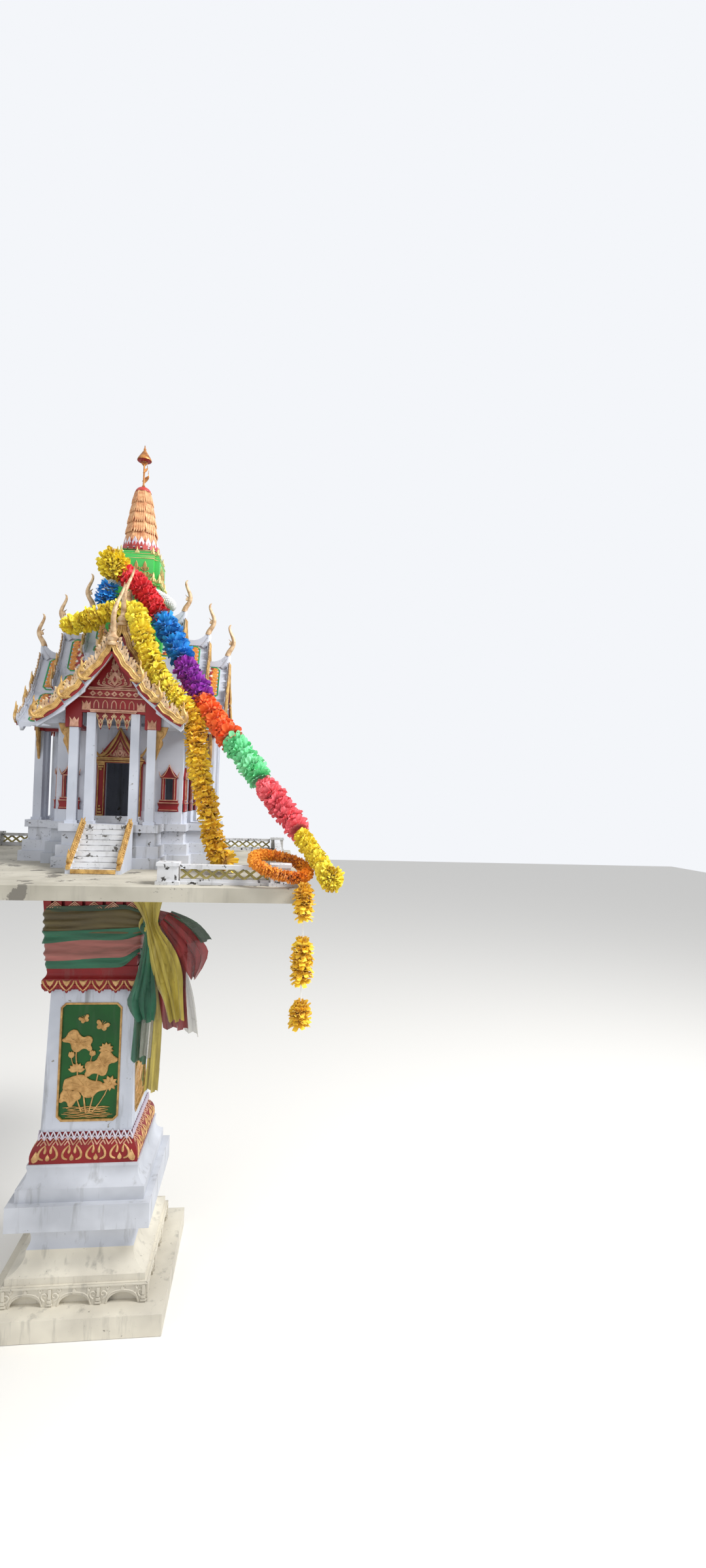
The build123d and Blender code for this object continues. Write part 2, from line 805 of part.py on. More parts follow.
# Red gable walls: a tympanum over stepped beams that rest on the columns
for group, sides in porch_groups.items():
    with BuildPart() as gable_wall:
        for side in sides:
            line = outer_line(front_outer_ridge if side == "front" else outer_ridge)
            face = porch_reach[side]
            back = face - column_width
            foot = floor_level + outer_column_height
            raised = floor_level + inner_column_height
            outside = outer_column_offset + column_width
            inside = lifted(line, -roof_shell)
            under = [point for point in inside if point[0] < outside]
            end_x, end_z = next(point for point in inside if point[0] >= outside)
            start_x, start_z = under[-1]
            meet = start_z + (end_z - start_z) * (outside - start_x) / (end_x - start_x)
            plate = under + [
                (outside, meet), (outside, foot), (shoulder, foot), (shoulder, raised), (0, raised)]
            prism(side, face - gable_wall_thickness, face, plate)
            centre_beam = [(0, raised), (shoulder, raised), (shoulder, floor_level + beam_top),
                           (0, floor_level + beam_top)]
            side_beam = [(shoulder, foot), (outside, foot), (outside, floor_level + wall_height),
                         (shoulder, floor_level + wall_height)]
            prism(side, back, face - gable_wall_thickness, centre_beam, side_beam)
            return_beam = [(outer_column_offset - column_width / 2, foot),
                           (outer_column_offset + column_width / 2, foot),
                           (outer_column_offset + column_width / 2, floor_level + wall_height),
                           (outer_column_offset - column_width / 2, floor_level + wall_height)]
            prism(side, wall_half_width, back, return_beam)
    save(gable_wall, f"{group}_gable_walls" if len(sides) > 1 else f"{group}_gable_wall")


def board_parts(line):
    """Band along a roof line, with its leaf teeth and its hanging horns."""
    parts = [lifted(line, bargeboard_rise) + lifted(line, -bargeboard_depth)[::-1]]
    for (x0, z0), (x1, z1) in zip(line, line[1:]):
        run = math.hypot(x1 - x0, z1 - z0)
        if x1 - x0 < tooth_pitch:
            continue
        count = int(run / tooth_pitch)
        ux, uz = (x1 - x0) / run, (z1 - z0) / run
        for place in range(1, count):
            at = place * run / count
            foot_x = x0 + ux * at
            foot_z = floor_level + z0 + uz * at + bargeboard_rise - tooth_height / 8
            parts.append([
                (foot_x, foot_z),
                (foot_x + ux * tooth_pitch * 0.6, foot_z + uz * tooth_pitch * 0.6),
                (foot_x - uz * tooth_height * 0.6 + ux * tooth_pitch * 0.1, foot_z + ux * tooth_height),
            ])
        tip_x, tip_z = x1, floor_level + z1 + bargeboard_rise
        parts.append([
            (tip_x - hang_horn_height * 0.45, tip_z + hang_horn_height * 0.1 - bargeboard_rise / 2),
            (tip_x, tip_z - bargeboard_rise),
            (tip_x + hang_horn_height * 0.22, tip_z + hang_horn_height * 0.25),
            (tip_x + hang_horn_height * 0.1, tip_z + hang_horn_height),
            (tip_x - hang_horn_height * 0.08, tip_z + hang_horn_height * 0.45),
        ])
    return parts


def tiers(side):
    """Ridge line and reach of the three roof tiers of one arm, lowest first."""
    front = side == "front"
    return [
        (outer_line(front_outer_ridge if front else outer_ridge),
         front_outer_reach if front else outer_reach),
        (middle_line, middle_reach),
        (inner_line, inner_reach),
    ]


# Gilded bargeboards with leaf teeth on the end of every tier
board_solids = {}
for group, sides in porch_groups.items():
    with BuildPart() as bargeboards:
        for side in sides:
            for line, reach in tiers(side):
                prism(side, reach - bargeboard_thickness, reach, *board_parts(line))
        add(outer_roof.part, mode=Mode.SUBTRACT)
        add(middle_roof.part, mode=Mode.SUBTRACT)
    save(bargeboards, f"{group}_bargeboards")
    board_solids[group] = bargeboards

# White crest on every ridge, swept up behind the horn
with BuildPart() as ridge_crests:
    for side in SIDES:
        runs = tiers(side)
        starts = [middle_reach, inner_reach, tower_foot_half]
        for (line, reach), start in zip(runs, starts):
            ridge = floor_level + line[0][1]
            end = reach - bargeboard_thickness
            with BuildSketch(along_arm(side)) as crest:
                with BuildLine() as edge:
                    Line((end, ridge + crest_height + crest_upturn), (end, ridge - crest_height / 2))
                    Line((end, ridge - crest_height / 2), (start, ridge - crest_height / 2))
                    Line((start, ridge - crest_height / 2), (start, ridge + crest_height))
                    Line((start, ridge + crest_height), (end - crest_upturn_length, ridge + crest_height))
                    SagittaArc((end - crest_upturn_length, ridge + crest_height),
                               (end, ridge + crest_height + crest_upturn), -crest_upturn / 5)
                make_face(edge.edges())
            extrude(crest.sketch, amount=crest_width / 2, both=True)
    for roof in (outer_roof, middle_roof, inner_roof):
        add(roof.part, mode=Mode.SUBTRACT)
save(ridge_crests, "ridge_crests")

# Horn finials, curved out and then back in, on the peak of every bargeboard
with BuildPart() as roof_horns:
    for side in SIDES:
        height = front_horn_height if side == "front" else side_horn_height
        for line, reach in tiers(side):
            foot_level = floor_level + line[0][1]
            inner, outer = reach - bargeboard_thickness, reach
            swell = height * horn_swell
            with BuildSketch(along_arm(side)) as horn:
                with BuildLine() as edge:
                    Line((inner, foot_level), (outer, foot_level))
                    Spline((outer, foot_level), (outer + swell, foot_level + height * 0.42),
                           (outer + swell * 0.6, foot_level + height * 0.75),
                           (outer + swell * 0.1, foot_level + height + bargeboard_rise))
                    Spline((outer + swell * 0.1, foot_level + height + bargeboard_rise),
                           (outer + swell * 0.1, foot_level + height * 0.75),
                           (outer + swell * 0.25, foot_level + height * 0.45),
                           (inner, foot_level))
                make_face(edge.edges())
            extrude(horn.sketch, amount=horn_thickness / 2, both=True)
    for boards in board_solids.values():
        add(boards.part, mode=Mode.SUBTRACT)
save(roof_horns, "roof_horns")

# Brackets from the outer columns up to the eaves
with BuildPart() as eave_brackets:
    for side in SIDES:
        column_side = outer_column_offset + column_width / 2
        top = floor_level + wall_height
        prism(side, porch_reach[side] - (column_width + horn_thickness) / 2,
              porch_reach[side] - (column_width - horn_thickness) / 2, [
                  (column_side + column_width / 2, top),
                  (column_side + bracket_width, top),
                  (column_side + bracket_width * 0.6, top - bracket_height * 0.5),
                  (column_side, top - bracket_height),
                  (column_side, floor_level + outer_column_height),
                  (column_side + column_width / 2, floor_level + outer_column_height),
              ])
save(eave_brackets, "eave_brackets")

# Tower over the crossing: stepped square tiers with notched corners
tower_level = floor_level + inner_ridge


def upright(level):
    """Upright plane through the tower's axis, for turned shapes."""
    return Plane(origin=(house_right, house_back, level), x_dir=(1, 0, 0), z_dir=(0, -1, 0))


def tower_course(level, height, half, notch):
    """One course of the tower, square with a notch in each corner."""
    with BuildSketch(Plane(origin=(house_right, house_back, level))) as plan:
        Rectangle(2 * half, 2 * (half - notch))
        Rectangle(2 * (half - notch), 2 * half)
    extrude(plan.sketch, amount=height)


with BuildPart() as tower_foot:
    tower_course(tower_level - tower_foot_depth, tower_foot_depth + tower_foot_height,
                 tower_foot_half, tower_notch)
    for roof in (outer_roof, middle_roof, inner_roof):
        add(roof.part, mode=Mode.SUBTRACT)
    add(ridge_crests.part, mode=Mode.SUBTRACT)
save(tower_foot, "tower_foot")

tier_foot = tower_level + tower_foot_height
rim_foot = tier_foot + tower_tier_height
band_level = rim_foot + tower_rim_height
with BuildPart() as tower_tiers:
    tower_course(tier_foot, tower_tier_height, tower_tier_half, tower_notch)
    tower_course(tier_foot + tower_tier_height * 0.36, tower_tier_height * 0.07,
                 tower_tier_half + tower_notch / 4, tower_notch)
    tower_course(rim_foot, tower_rim_height / 2, tower_rim_half + tower_notch / 3, tower_notch * 0.8)
    tower_course(rim_foot + tower_rim_height / 2, tower_rim_height / 2, tower_rim_half, tower_notch * 0.8)
save(tower_tiers, "tower_tiers")


with BuildPart() as lotus_band:
    with BuildSketch(Plane(origin=(house_right, house_back, band_level))):
        RegularPolygon(lotus_band_half, 8, major_radius=False, rotation=22.5)
    with BuildSketch(Plane(origin=(house_right, house_back, band_level + lotus_band_height))):
        RegularPolygon(spire_foot_half, 8, major_radius=False, rotation=22.5)
    loft()
save(lotus_band, "lotus_band")

spire_foot = band_level + lotus_band_height
spire_tier_height = spire_height / spire_tier_count
taper = (spire_foot_half - spire_top_half) / spire_tier_count
with BuildPart() as spire_tiers:
    for tier in range(spire_tier_count):
        level = spire_foot + tier * spire_tier_height
        half = spire_foot_half - tier * taper
        with BuildSketch(Plane(origin=(house_right, house_back, level))) as foot_face:
            RegularPolygon(half, 8, major_radius=False, rotation=22.5)
        with BuildSketch(Plane(origin=(house_right, house_back, level + spire_tier_height))) as top_face:
            RegularPolygon(half - taper - spire_tier_flare, 8, major_radius=False, rotation=22.5)
        loft([foot_face.sketch, top_face.sketch])
    dome_foot = spire_foot + spire_height
    with BuildSketch(upright(dome_foot)) as dome:
        with BuildLine() as edge:
            Line((0, 0), (spire_top_half, 0))
            SagittaArc((spire_top_half, 0), (pole_radius, spire_dome_height), -spire_dome_height / 4)
            Line((pole_radius, spire_dome_height), (0, spire_dome_height))
            Line((0, spire_dome_height), (0, 0))
        make_face(edge.edges())
    revolve(dome.sketch, Axis((house_right, house_back, 0), (0, 0, 1)))
save(spire_tiers, "spire_tiers")

# Pole with an umbrella cap near its tip
pole_foot = spire_foot + spire_height + spire_dome_height
with BuildPart() as spire_pole:
    with BuildSketch(upright(pole_foot)) as half:
        with BuildLine() as edge:
            Polyline(
                (0, 0),
                (pole_radius, 0),
                (pole_radius * 0.8, umbrella_foot + roof_edge / 2),
                (umbrella_radius, umbrella_foot),
                (umbrella_radius * 0.8, umbrella_foot + umbrella_height * 0.35),
                (pole_radius, umbrella_foot + umbrella_height),
                (pole_radius * 0.5, pole_height),
                (0, pole_height),
                close=True,
            )
        make_face(edge.edges())
    revolve(half.sketch, Axis((house_right, house_back, 0), (0, 0, 1)))
save(spire_pole, "spire_pole")


# Garlands of cloth flowers, as plain round bodies that hold their place
def tube(points, radius):
    """Round body along straight runs that arcs join."""
    runs = [math.dist(a, b) for a, b in zip(points, points[1:])]
    radii = []
    for place in range(1, len(points) - 1):
        before = Vector(*points[place]) - Vector(*points[place - 1])
        after = Vector(*points[place + 1]) - Vector(*points[place])
        turn = math.radians(before.get_angle(after))
        radii.append(0.45 * min(runs[place - 1], runs[place]) / math.tan(turn / 2))
    with BuildLine() as path:
        FilletPolyline(*points, radius=radii)
    start = path.line @ 0
    with BuildSketch(Plane(origin=start, z_dir=path.line % 0)) as section:
        Circle(radius)
    sweep(section.sketch, path=path.line)


slab_rest = slab_top + small_garland_radius + clearance
long_garland_route = [
    (-33, -37, 2326),
    (-4, -44, 2437),
    (82, -50, 2383),
    (142, -80, 2298),
    (222, -102, 2168),
    (277, -143, 2053),
    (343, -200, 1946),
    (406, -255, 1862),
    (466, -310, 1792),
    (515, -362, 1726),
    (560, -420, 1666),
    (612, -480, 1606),
    (662, -545, 1535),
    (701, -602, 1476),
    (722, -655, 1449),
]
short_garland_route = [
    (-130, -60, 2222),
    (-64, -80, 2240),
    (10, -98, 2270),
    (57, -98, 2270),
    (92, -128, 2268),
    (120, -186, 2200),
    (142, -188, 2124),
    (182, -196, 2048),
    (228, -212, 1990),
    (276, -222, 1941),
    (310, -228, 1896),
    (314, -236, 1830),
    (324, -244, 1755),
    (346, -262, 1672),
    (372, -285, 1580),
    (388, -300, slab_rest + 45),
    (420, -318, slab_rest),
    (480, -335, slab_rest),
]
with BuildPart() as long_garland:
    tube(long_garland_route, garland_radius)
    for held in (roof_horns, ridge_crests, inner_roof, middle_roof, tower_foot, tower_tiers):
        add(held.part, mode=Mode.SUBTRACT)
save(long_garland, "long_garland")

with BuildPart() as short_garland:
    tube(short_garland_route, small_garland_radius)
    for held in (roof_horns, ridge_crests, inner_roof, middle_roof, outer_roof, board_solids["front"]):
        add(held.part, mode=Mode.SUBTRACT)
save(short_garland, "short_garland")

ring_lean = math.radians(marigold_lean)
ring_rise = ring_radius * math.cos(math.pi / 4) * math.sin(ring_lean)
ring_level = slab_top + rail_height + marigold_radius / math.cos(ring_lean) - ring_rise + ring_lift
with BuildPart() as marigold_ring:
    with Locations(Location((rail_line, -rail_line, ring_level), (0, 0, -45))):
        Torus(ring_radius, marigold_radius, rotation=(0, marigold_lean, 0))
    for held in (balustrade_posts, long_garland, balustrade_rails):
        add(held.part, mode=Mode.SUBTRACT)
save(marigold_ring, "marigold_ring")

with BuildPart() as hanging_blooms:
    bloom_line = slab_width / 2 + bloom_radius + clearance
    with BuildSketch(Plane(origin=(slab_width / 2, -bloom_line, slab_top - bloom_drop))):
        Circle(bloom_radius)
    extrude(amount=bloom_drop)
save(hanging_blooms, "hanging_blooms")

# White beaded rope that leans round the foot of the tower
rope_sink = rope_ring_radius * math.sin(math.radians(rope_lean)) * 0.78 + rope_radius
with BuildPart() as rope_ring:
    with Locations((house_right, house_back, tier_foot + rope_sink - clearance)):
        Torus(rope_ring_radius, rope_radius, rotation=(0, rope_lean, 0))
    for held in (tower_foot, tower_tiers, long_garland):
        add(held.part, mode=Mode.SUBTRACT)
save(rope_ring, "rope_ring")

# Cloth wound round the capital, and its tails
wrap_foot = band_foot - fringe_height * 0.1
wrap_top_half = top_half + wrap_thickness
with BuildPart() as sash_wrap:
    wrap_foot_half = neck_half + capital_petal_depth + wrap_thickness
    add(square_turned([
        (wrap_foot_half, wrap_foot, -wrap_thickness / 4),
        (wrap_top_half, wrap_foot + wrap_height, 0),
    ]).part)
    add(square_turned([
        (neck_half - wrap_thickness, wrap_foot, 0),
        (neck_half - wrap_thickness, wrap_foot + wrap_height, 0),
    ]).part, mode=Mode.SUBTRACT)
    for held in (capital_fringe, capital_flare):
        add(held.part, mode=Mode.SUBTRACT)
save(sash_wrap, "sash_wrap")

tail_front = clearance * 3 - wrap_top_half
with BuildPart() as sash_tails:
    with BuildSketch(Plane(origin=(0, tail_front, 0), x_dir=(1, 0, 0), z_dir=(0, -1, 0))):
        Polygon(*sash_tail_outline, align=None)
    extrude(amount=tail_thickness)
    add(sash_wrap.part, mode=Mode.SUBTRACT)
save(sash_tails, "sash_tails")
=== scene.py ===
# %% [markdown]
# # A spirit house, dressed over its CAD frame
#
# The object is a small shrine on a slab, and one carved pillar carries the slab. All of
# it is cast cement, painted by hand, and cloth flowers and sashes are hung on it.
# The CAD model gives every size. This script loads it as a fixed frame, gives each part
# its real finish, and adds what is too fine for the CAD: tiles, reliefs, beads, cloth.
#
# The first cell loads the frame. The finished model has to stay inside it.

# %% Load the frame
import random
from math import atan2, copysign, cos, dist, exp, hypot, inf, pi, radians, sin, tan
import bmesh
import bpy
import numpy as np
from mathutils import Matrix, Vector


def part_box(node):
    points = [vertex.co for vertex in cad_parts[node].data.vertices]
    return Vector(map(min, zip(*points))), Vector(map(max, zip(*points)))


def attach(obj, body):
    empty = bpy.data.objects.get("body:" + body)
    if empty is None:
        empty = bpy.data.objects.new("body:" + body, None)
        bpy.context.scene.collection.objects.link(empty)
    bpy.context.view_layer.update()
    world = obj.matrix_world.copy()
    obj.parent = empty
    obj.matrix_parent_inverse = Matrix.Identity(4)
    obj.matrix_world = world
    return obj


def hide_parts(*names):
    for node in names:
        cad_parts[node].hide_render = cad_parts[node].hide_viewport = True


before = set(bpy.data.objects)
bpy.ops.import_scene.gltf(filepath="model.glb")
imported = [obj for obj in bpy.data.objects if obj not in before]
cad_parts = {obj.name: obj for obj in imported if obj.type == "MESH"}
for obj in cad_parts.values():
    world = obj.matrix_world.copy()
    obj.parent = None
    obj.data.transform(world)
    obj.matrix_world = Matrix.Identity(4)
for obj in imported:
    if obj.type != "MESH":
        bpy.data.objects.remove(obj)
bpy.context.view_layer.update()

# %% [markdown]
# ## The camera
#
# The photograph was taken from a little right of the shrine's front, with a wide lens.
# The lens, place and turn below were solved from the slab's edges, the pillar and the
# roofs, so a point of the model lands where the photograph shows it.

# %% Set the camera
MM = 0.001
FOCAL_PIXELS = 1049.86
PHOTO_HEIGHT = 2398
SENSOR = 36.0
YAW, PITCH, ROLL = (radians(angle) for angle in (-6.7701, 1.2063, 1.755))

right = Vector((cos(YAW), sin(YAW), 0))
ahead = Vector((-sin(YAW), cos(YAW), 0))
forward = cos(PITCH) * ahead + sin(PITCH) * Vector((0, 0, 1))
up = -sin(PITCH) * ahead + cos(PITCH) * Vector((0, 0, 1))
camera_x = cos(ROLL) * right + sin(ROLL) * up
camera_y = -sin(ROLL) * right + cos(ROLL) * up

camera_data = bpy.data.cameras.new("photo_camera")
camera_data.sensor_fit = "VERTICAL"
camera_data.sensor_height = SENSOR
camera_data.lens = FOCAL_PIXELS * SENSOR / PHOTO_HEIGHT
camera_data.clip_end = 100
camera = bpy.data.objects.new("photo_camera", camera_data)
bpy.context.scene.collection.objects.link(camera)
turn = Matrix((camera_x, camera_y, -forward)).transposed().to_4x4()
camera.matrix_world = Matrix.Translation((0.5565, -2.4646, 1.6653)) @ turn
bpy.context.scene.camera = camera
print("lens", round(camera_data.lens, 2), "mm")

# %% [markdown]
# ## Tools of the workshop
#
# A few helpers do the chores. One keeps selections clean, because Blender's operators
# act on all that is selected. `plate` cuts a flat shape with rounded edges, which is how
# most cast ornament looks. `rod` draws a round line with a taper. `copies` repeats one
# model many times inside one mesh.

# %% Selection, joining and copying
HOUSE = Vector((54 * MM, 112 * MM, 0))
HOME = Matrix.Translation(HOUSE)
TURNS = {"front": 0.0, "right": pi / 2, "back": pi, "left": -pi / 2}


def shift(x, y, z):
    """A move in mm."""
    return Matrix.Translation((x * MM, y * MM, z * MM))


def about(axis, angle):
    """A turn about an axis."""
    return Matrix.Rotation(angle, 4, axis)


def only(piece):
    """Select one piece and nothing else."""
    if bpy.context.object and bpy.context.object.mode != "OBJECT":
        bpy.ops.object.mode_set(mode="OBJECT")
    bpy.ops.object.select_all(action="DESELECT")
    piece.select_set(True)
    bpy.context.view_layer.objects.active = piece


def clear():
    """Deselect everything before a new primitive."""
    if bpy.context.object and bpy.context.object.mode != "OBJECT":
        bpy.ops.object.mode_set(mode="OBJECT")
    bpy.ops.object.select_all(action="DESELECT")


def as_mesh(piece):
    """Turn a curve into a mesh."""
    only(piece)
    bpy.ops.object.convert(target="MESH")
    return bpy.context.object


def joined(parts, name):
    """Join parts into one piece."""
    clear()
    for part in parts:
        part.select_set(True)
    bpy.context.view_layer.objects.active = parts[0]
    if len(parts) > 1:
        bpy.ops.object.join()
    piece = bpy.context.object
    piece.name = piece.data.name = name
    return piece


def copies(templates, places, name, seed=0):
    """One mesh with a template at every place. Each copy gets its own tint from 0 to 1."""
    if not isinstance(templates, (list, tuple)):
        templates = [templates]
    draw = random.Random(seed)
    models = []
    for template in templates:
        mesh = template.data
        points = np.empty(len(mesh.vertices) * 3)
        mesh.vertices.foreach_get("co", points)
        faces = [tuple(face.vertices) for face in mesh.polygons]
        models.append((points.reshape(-1, 3), faces))
    all_points, all_faces, tints, start = [], [], [], 0
    for place in places:
        points, faces = models[draw.randrange(len(models))]
        turned = np.array(place)
        all_points.append(points @ turned[:3, :3].T + turned[:3, 3])
        all_faces.extend(tuple(start + corner for corner in face) for face in faces)
        tints.extend([draw.random()] * len(points))
        start += len(points)
    mesh = bpy.data.meshes.new(name)
    mesh.from_pydata(np.concatenate(all_points).tolist(), [], all_faces)
    tint = mesh.attributes.new("tint", "FLOAT", "POINT")
    tint.data.foreach_set("value", tints)
    mesh.update()
    piece = bpy.data.objects.new(name, mesh)
    bpy.context.scene.collection.objects.link(piece)
    return piece


def discard(*templates):
    """Remove a model that was only there to be copied."""
    for template in templates:
        bpy.data.objects.remove(template, do_unlink=True)


def smooth(piece, angle=40):
    """Shade round where faces meet at less than an angle."""
    only(piece)
    bpy.ops.object.shade_smooth_by_angle(angle=radians(angle))
    for modifier in list(piece.modifiers):
        bpy.ops.object.modifier_apply(modifier=modifier.name)
    return piece


def outwards(piece):
    """Turn all faces outwards."""
    only(piece)
    bpy.ops.object.mode_set(mode="EDIT")
    bpy.ops.mesh.select_all(action="SELECT")
    bpy.ops.mesh.normals_make_consistent(inside=False)
    bpy.ops.object.mode_set(mode="OBJECT")
    return piece


def finish(piece, material, slot, *replaced):
    """Give a piece its material and its body, and the CAD nodes it stands for. Its slot is not used."""
    piece.data.materials.clear()
    piece.data.materials.append(material)
    if replaced:
        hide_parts(*replaced)
    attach(piece, "root")
    print(piece.name, len(piece.data.polygons), "faces")
    return piece

# %% [markdown]
# A plate starts as a flat Bezier curve, because its arcs stay smooth with few points. A rod
# is a NURBS path with a round bevel, and a turned solid is a profile that is spun.

# %% Plates, rods and round turns
def plate(outlines, thickness, edge, resolution=3):
    """Flat shape seen from the front, with rounded edges. A point is (x, z) in mm, or
    (x, z, 1) at a sharp corner. Its face is at y = -thickness / 2."""
    clear()
    bpy.ops.curve.primitive_bezier_circle_add()
    shape = bpy.context.object
    curve = shape.data
    curve.dimensions = "2D"
    curve.fill_mode = "BOTH"
    curve.resolution_u = resolution
    curve.extrude = max(thickness / 2 - edge, 0.05) * MM
    curve.bevel_depth = edge * MM
    curve.bevel_resolution = 1 if resolution > 2 else 0
    curve.splines.clear()
    for outline in outlines:
        line = curve.splines.new("BEZIER")
        line.use_cyclic_u = True
        line.bezier_points.add(len(outline) - 1)
        for point, spot in zip(line.bezier_points, outline):
            point.co = (spot[0] * MM, spot[1] * MM, 0)
            kind = "VECTOR" if len(spot) > 2 else "AUTO"
            point.handle_left_type = kind
            point.handle_right_type = kind
    made = as_mesh(shape)
    made.data.transform(about("X", pi / 2))
    return made


def rod(points, radius, taper=None, closed=False, sides=1, fine=2):
    """Round line through points in mm, (x, y, z) or (x, z). taper gives each point's width."""
    clear()
    bpy.ops.curve.primitive_nurbs_path_add()
    shape = bpy.context.object
    curve = shape.data
    curve.dimensions = "3D"
    curve.resolution_u = fine
    curve.bevel_depth = radius * MM
    curve.bevel_resolution = sides
    curve.use_fill_caps = True
    curve.splines.clear()
    line = curve.splines.new("NURBS")
    line.points.add(len(points) - 1)
    for place, (point, spot) in enumerate(zip(line.points, points)):
        x, y, z = spot if len(spot) == 3 else (spot[0], 0, spot[1])
        point.co = (x * MM, y * MM, z * MM, 1)
        point.radius = taper[place] if taper else 1
    line.use_cyclic_u = closed
    line.use_endpoint_u = not closed
    line.order_u = 3
    return as_mesh(shape)


def spiral(x, z, start, turns, outer, inner, steps=9):
    """Points of a spiral about (x, z), from its outer end in to its eye."""
    points = []
    for step in range(steps):
        share = step / (steps - 1)
        angle = radians(start) + turns * 2 * pi * share
        reach = outer + (inner - outer) * share
        points.append((x + reach * cos(angle), z + reach * sin(angle)))
    return points


def moved(x=0.0, y=0.0, z=0.0, turn=0.0, size=1.0, centre=(0, 0, 0)):
    """Place in mm, then a turn about the upright axis through a centre in metres."""
    return (Matrix.Translation(centre) @ about("Z", turn)
            @ shift(x, y, z) @ Matrix.Scale(size, 4))


def turned(profile, name, centre, steps=48):
    """Spin a profile of (radius, height) in mm about an upright axis."""
    clear()
    bpy.ops.mesh.primitive_circle_add(vertices=len(profile), fill_type="NOTHING")
    piece = bpy.context.object
    bpy.ops.object.mode_set(mode="EDIT")
    work = bmesh.from_edit_mesh(piece.data)
    work.verts.ensure_lookup_table()
    for corner, (radius, height) in zip(work.verts, profile):
        corner.co = (max(radius, 0) * MM, 0, height * MM)
    for edge in list(work.edges):
        ends = sorted(corner.index for corner in edge.verts)
        if ends == [0, len(profile) - 1] and len(profile) > 2:
            work.edges.remove(edge)
    bmesh.update_edit_mesh(piece.data)
    bpy.ops.mesh.select_all(action="SELECT")
    bpy.ops.mesh.spin(steps=steps, angle=2 * pi, center=(0, 0, 0), axis=(0, 0, 1))
    bpy.ops.mesh.select_all(action="SELECT")
    bpy.ops.mesh.remove_doubles(threshold=1e-5)
    bpy.ops.mesh.normals_make_consistent(inside=False)
    bpy.ops.object.mode_set(mode="OBJECT")
    piece.data.transform(Matrix.Translation(centre))
    piece.name = name
    return piece


def stacked(outline_at, levels, name):
    """Solid of level courses: a floor plan in mm for a spread, extruded from level to level."""
    corners = outline_at(levels[0][1])
    clear()
    bpy.ops.mesh.primitive_circle_add(vertices=len(corners), fill_type="NGON")
    piece = bpy.context.object
    bpy.ops.object.mode_set(mode="EDIT")
    work = bmesh.from_edit_mesh(piece.data)
    work.verts.ensure_lookup_table()
    ring = list(work.verts)
    for corner, (x, y) in zip(ring, corners):
        corner.co = (x * MM, y * MM, levels[0][0] * MM)
    bmesh.update_edit_mesh(piece.data)
    for height, spread in levels[1:]:
        below = [tuple(corner.co) for corner in ring]
        bpy.ops.mesh.extrude_region_move()
        work = bmesh.from_edit_mesh(piece.data)
        top = [corner for corner in work.verts if corner.select]
        ring = [min(top, key=lambda corner: (corner.co - Vector(spot)).length) for spot in below]
        for corner, (x, y) in zip(ring, outline_at(spread)):
            corner.co = (x * MM, y * MM, height * MM)
        bmesh.update_edit_mesh(piece.data)
    piece.name = name
    return outwards(piece)

# %% [markdown]
# ## Finishes
#
# Most of the object is cast cement under house paint. Years of sun and rain show on it:
# black mildew specks, soot-coloured streaks that run down, and flakes that lift and bare
# the grey cement. The ornament is gilt paint over red enamel, with dirt in its hollows.
# Each finish is made from noise on object coordinates, at a size in millimetres.

# %% Nodes and colours
def linear(code):
    """An sRGB hex value as linear colour."""
    channels = [int(code[place:place + 2], 16) / 255 for place in (1, 3, 5)]
    return tuple(c / 12.92 if c <= 0.04045 else ((c + 0.055) / 1.055) ** 2.4 for c in channels) + (1,)


def fill(tree, made, sockets):
    """Set the sockets of a node, or link them where the value is a socket too."""
    for socket, value in sockets.items():
        if isinstance(value, bpy.types.NodeSocket):
            tree.links.new(value, made.inputs[socket])
        else:
            made.inputs[socket].default_value = linear(value) if isinstance(value, str) else value


def node(tree, kind, sockets, output=0, **settings):
    """Add a node with its settings and links, and give the output that is wanted."""
    made = tree.nodes.new("ShaderNode" + kind)
    for name, value in settings.items():
        setattr(made, name, value)
    fill(tree, made, sockets)
    return made.outputs[output]


# The colour Mix node has the same socket names several times, so these are their numbers
SHARE, UNDER, OVER, MIXED = 0, 6, 7, 2


def blank(name):
    """New material with its tree, its shader and object coordinates."""
    material = bpy.data.materials.new(name)
    material.use_nodes = True
    tree = material.node_tree
    return material, tree, tree.nodes["Principled BSDF"], node(tree, "TexCoord", {}, "Object")


def patches(tree, place, size, detail, low=0.0, high=1.0, amount=1.0, roughness=0.55, stretch=(1, 1, 1)):
    """Noise in lumps about size mm across, as a share: 0 below low and amount above high."""
    mapped = node(tree, "Mapping", {"Vector": place, "Scale": stretch})
    noise = node(tree, "TexNoise", {"Vector": mapped, "Scale": 0.5 / (size * MM), "Detail": detail,
                                    "Roughness": roughness})
    return node(tree, "MapRange", {"Value": noise, "From Min": low, "From Max": high, "To Max": amount})


def layered(tree, place, colour, *layers):
    """Lay tones over a colour, each where its patches are. Gives the colour and the last share."""
    for tone, *shape in layers:
        share = patches(tree, place, *shape)
        colour = node(tree, "Mix", {SHARE: share, UNDER: colour, OVER: tone}, MIXED, data_type="RGBA")
    return colour, share


print("a grain of", 0.5 / (10 * MM), "gives lumps of 10 mm")

# %% [markdown]
# Emulsion and enamel are brushed over the cement, so their tone is uneven in lumps of
# 90 mm. Rain leaves streaks 16 mm wide and eight times as long. Mildew is specks of 4.5 mm
# that come in damp places, and flakes stand 0.6 mm below the paint, in the cement's grey.

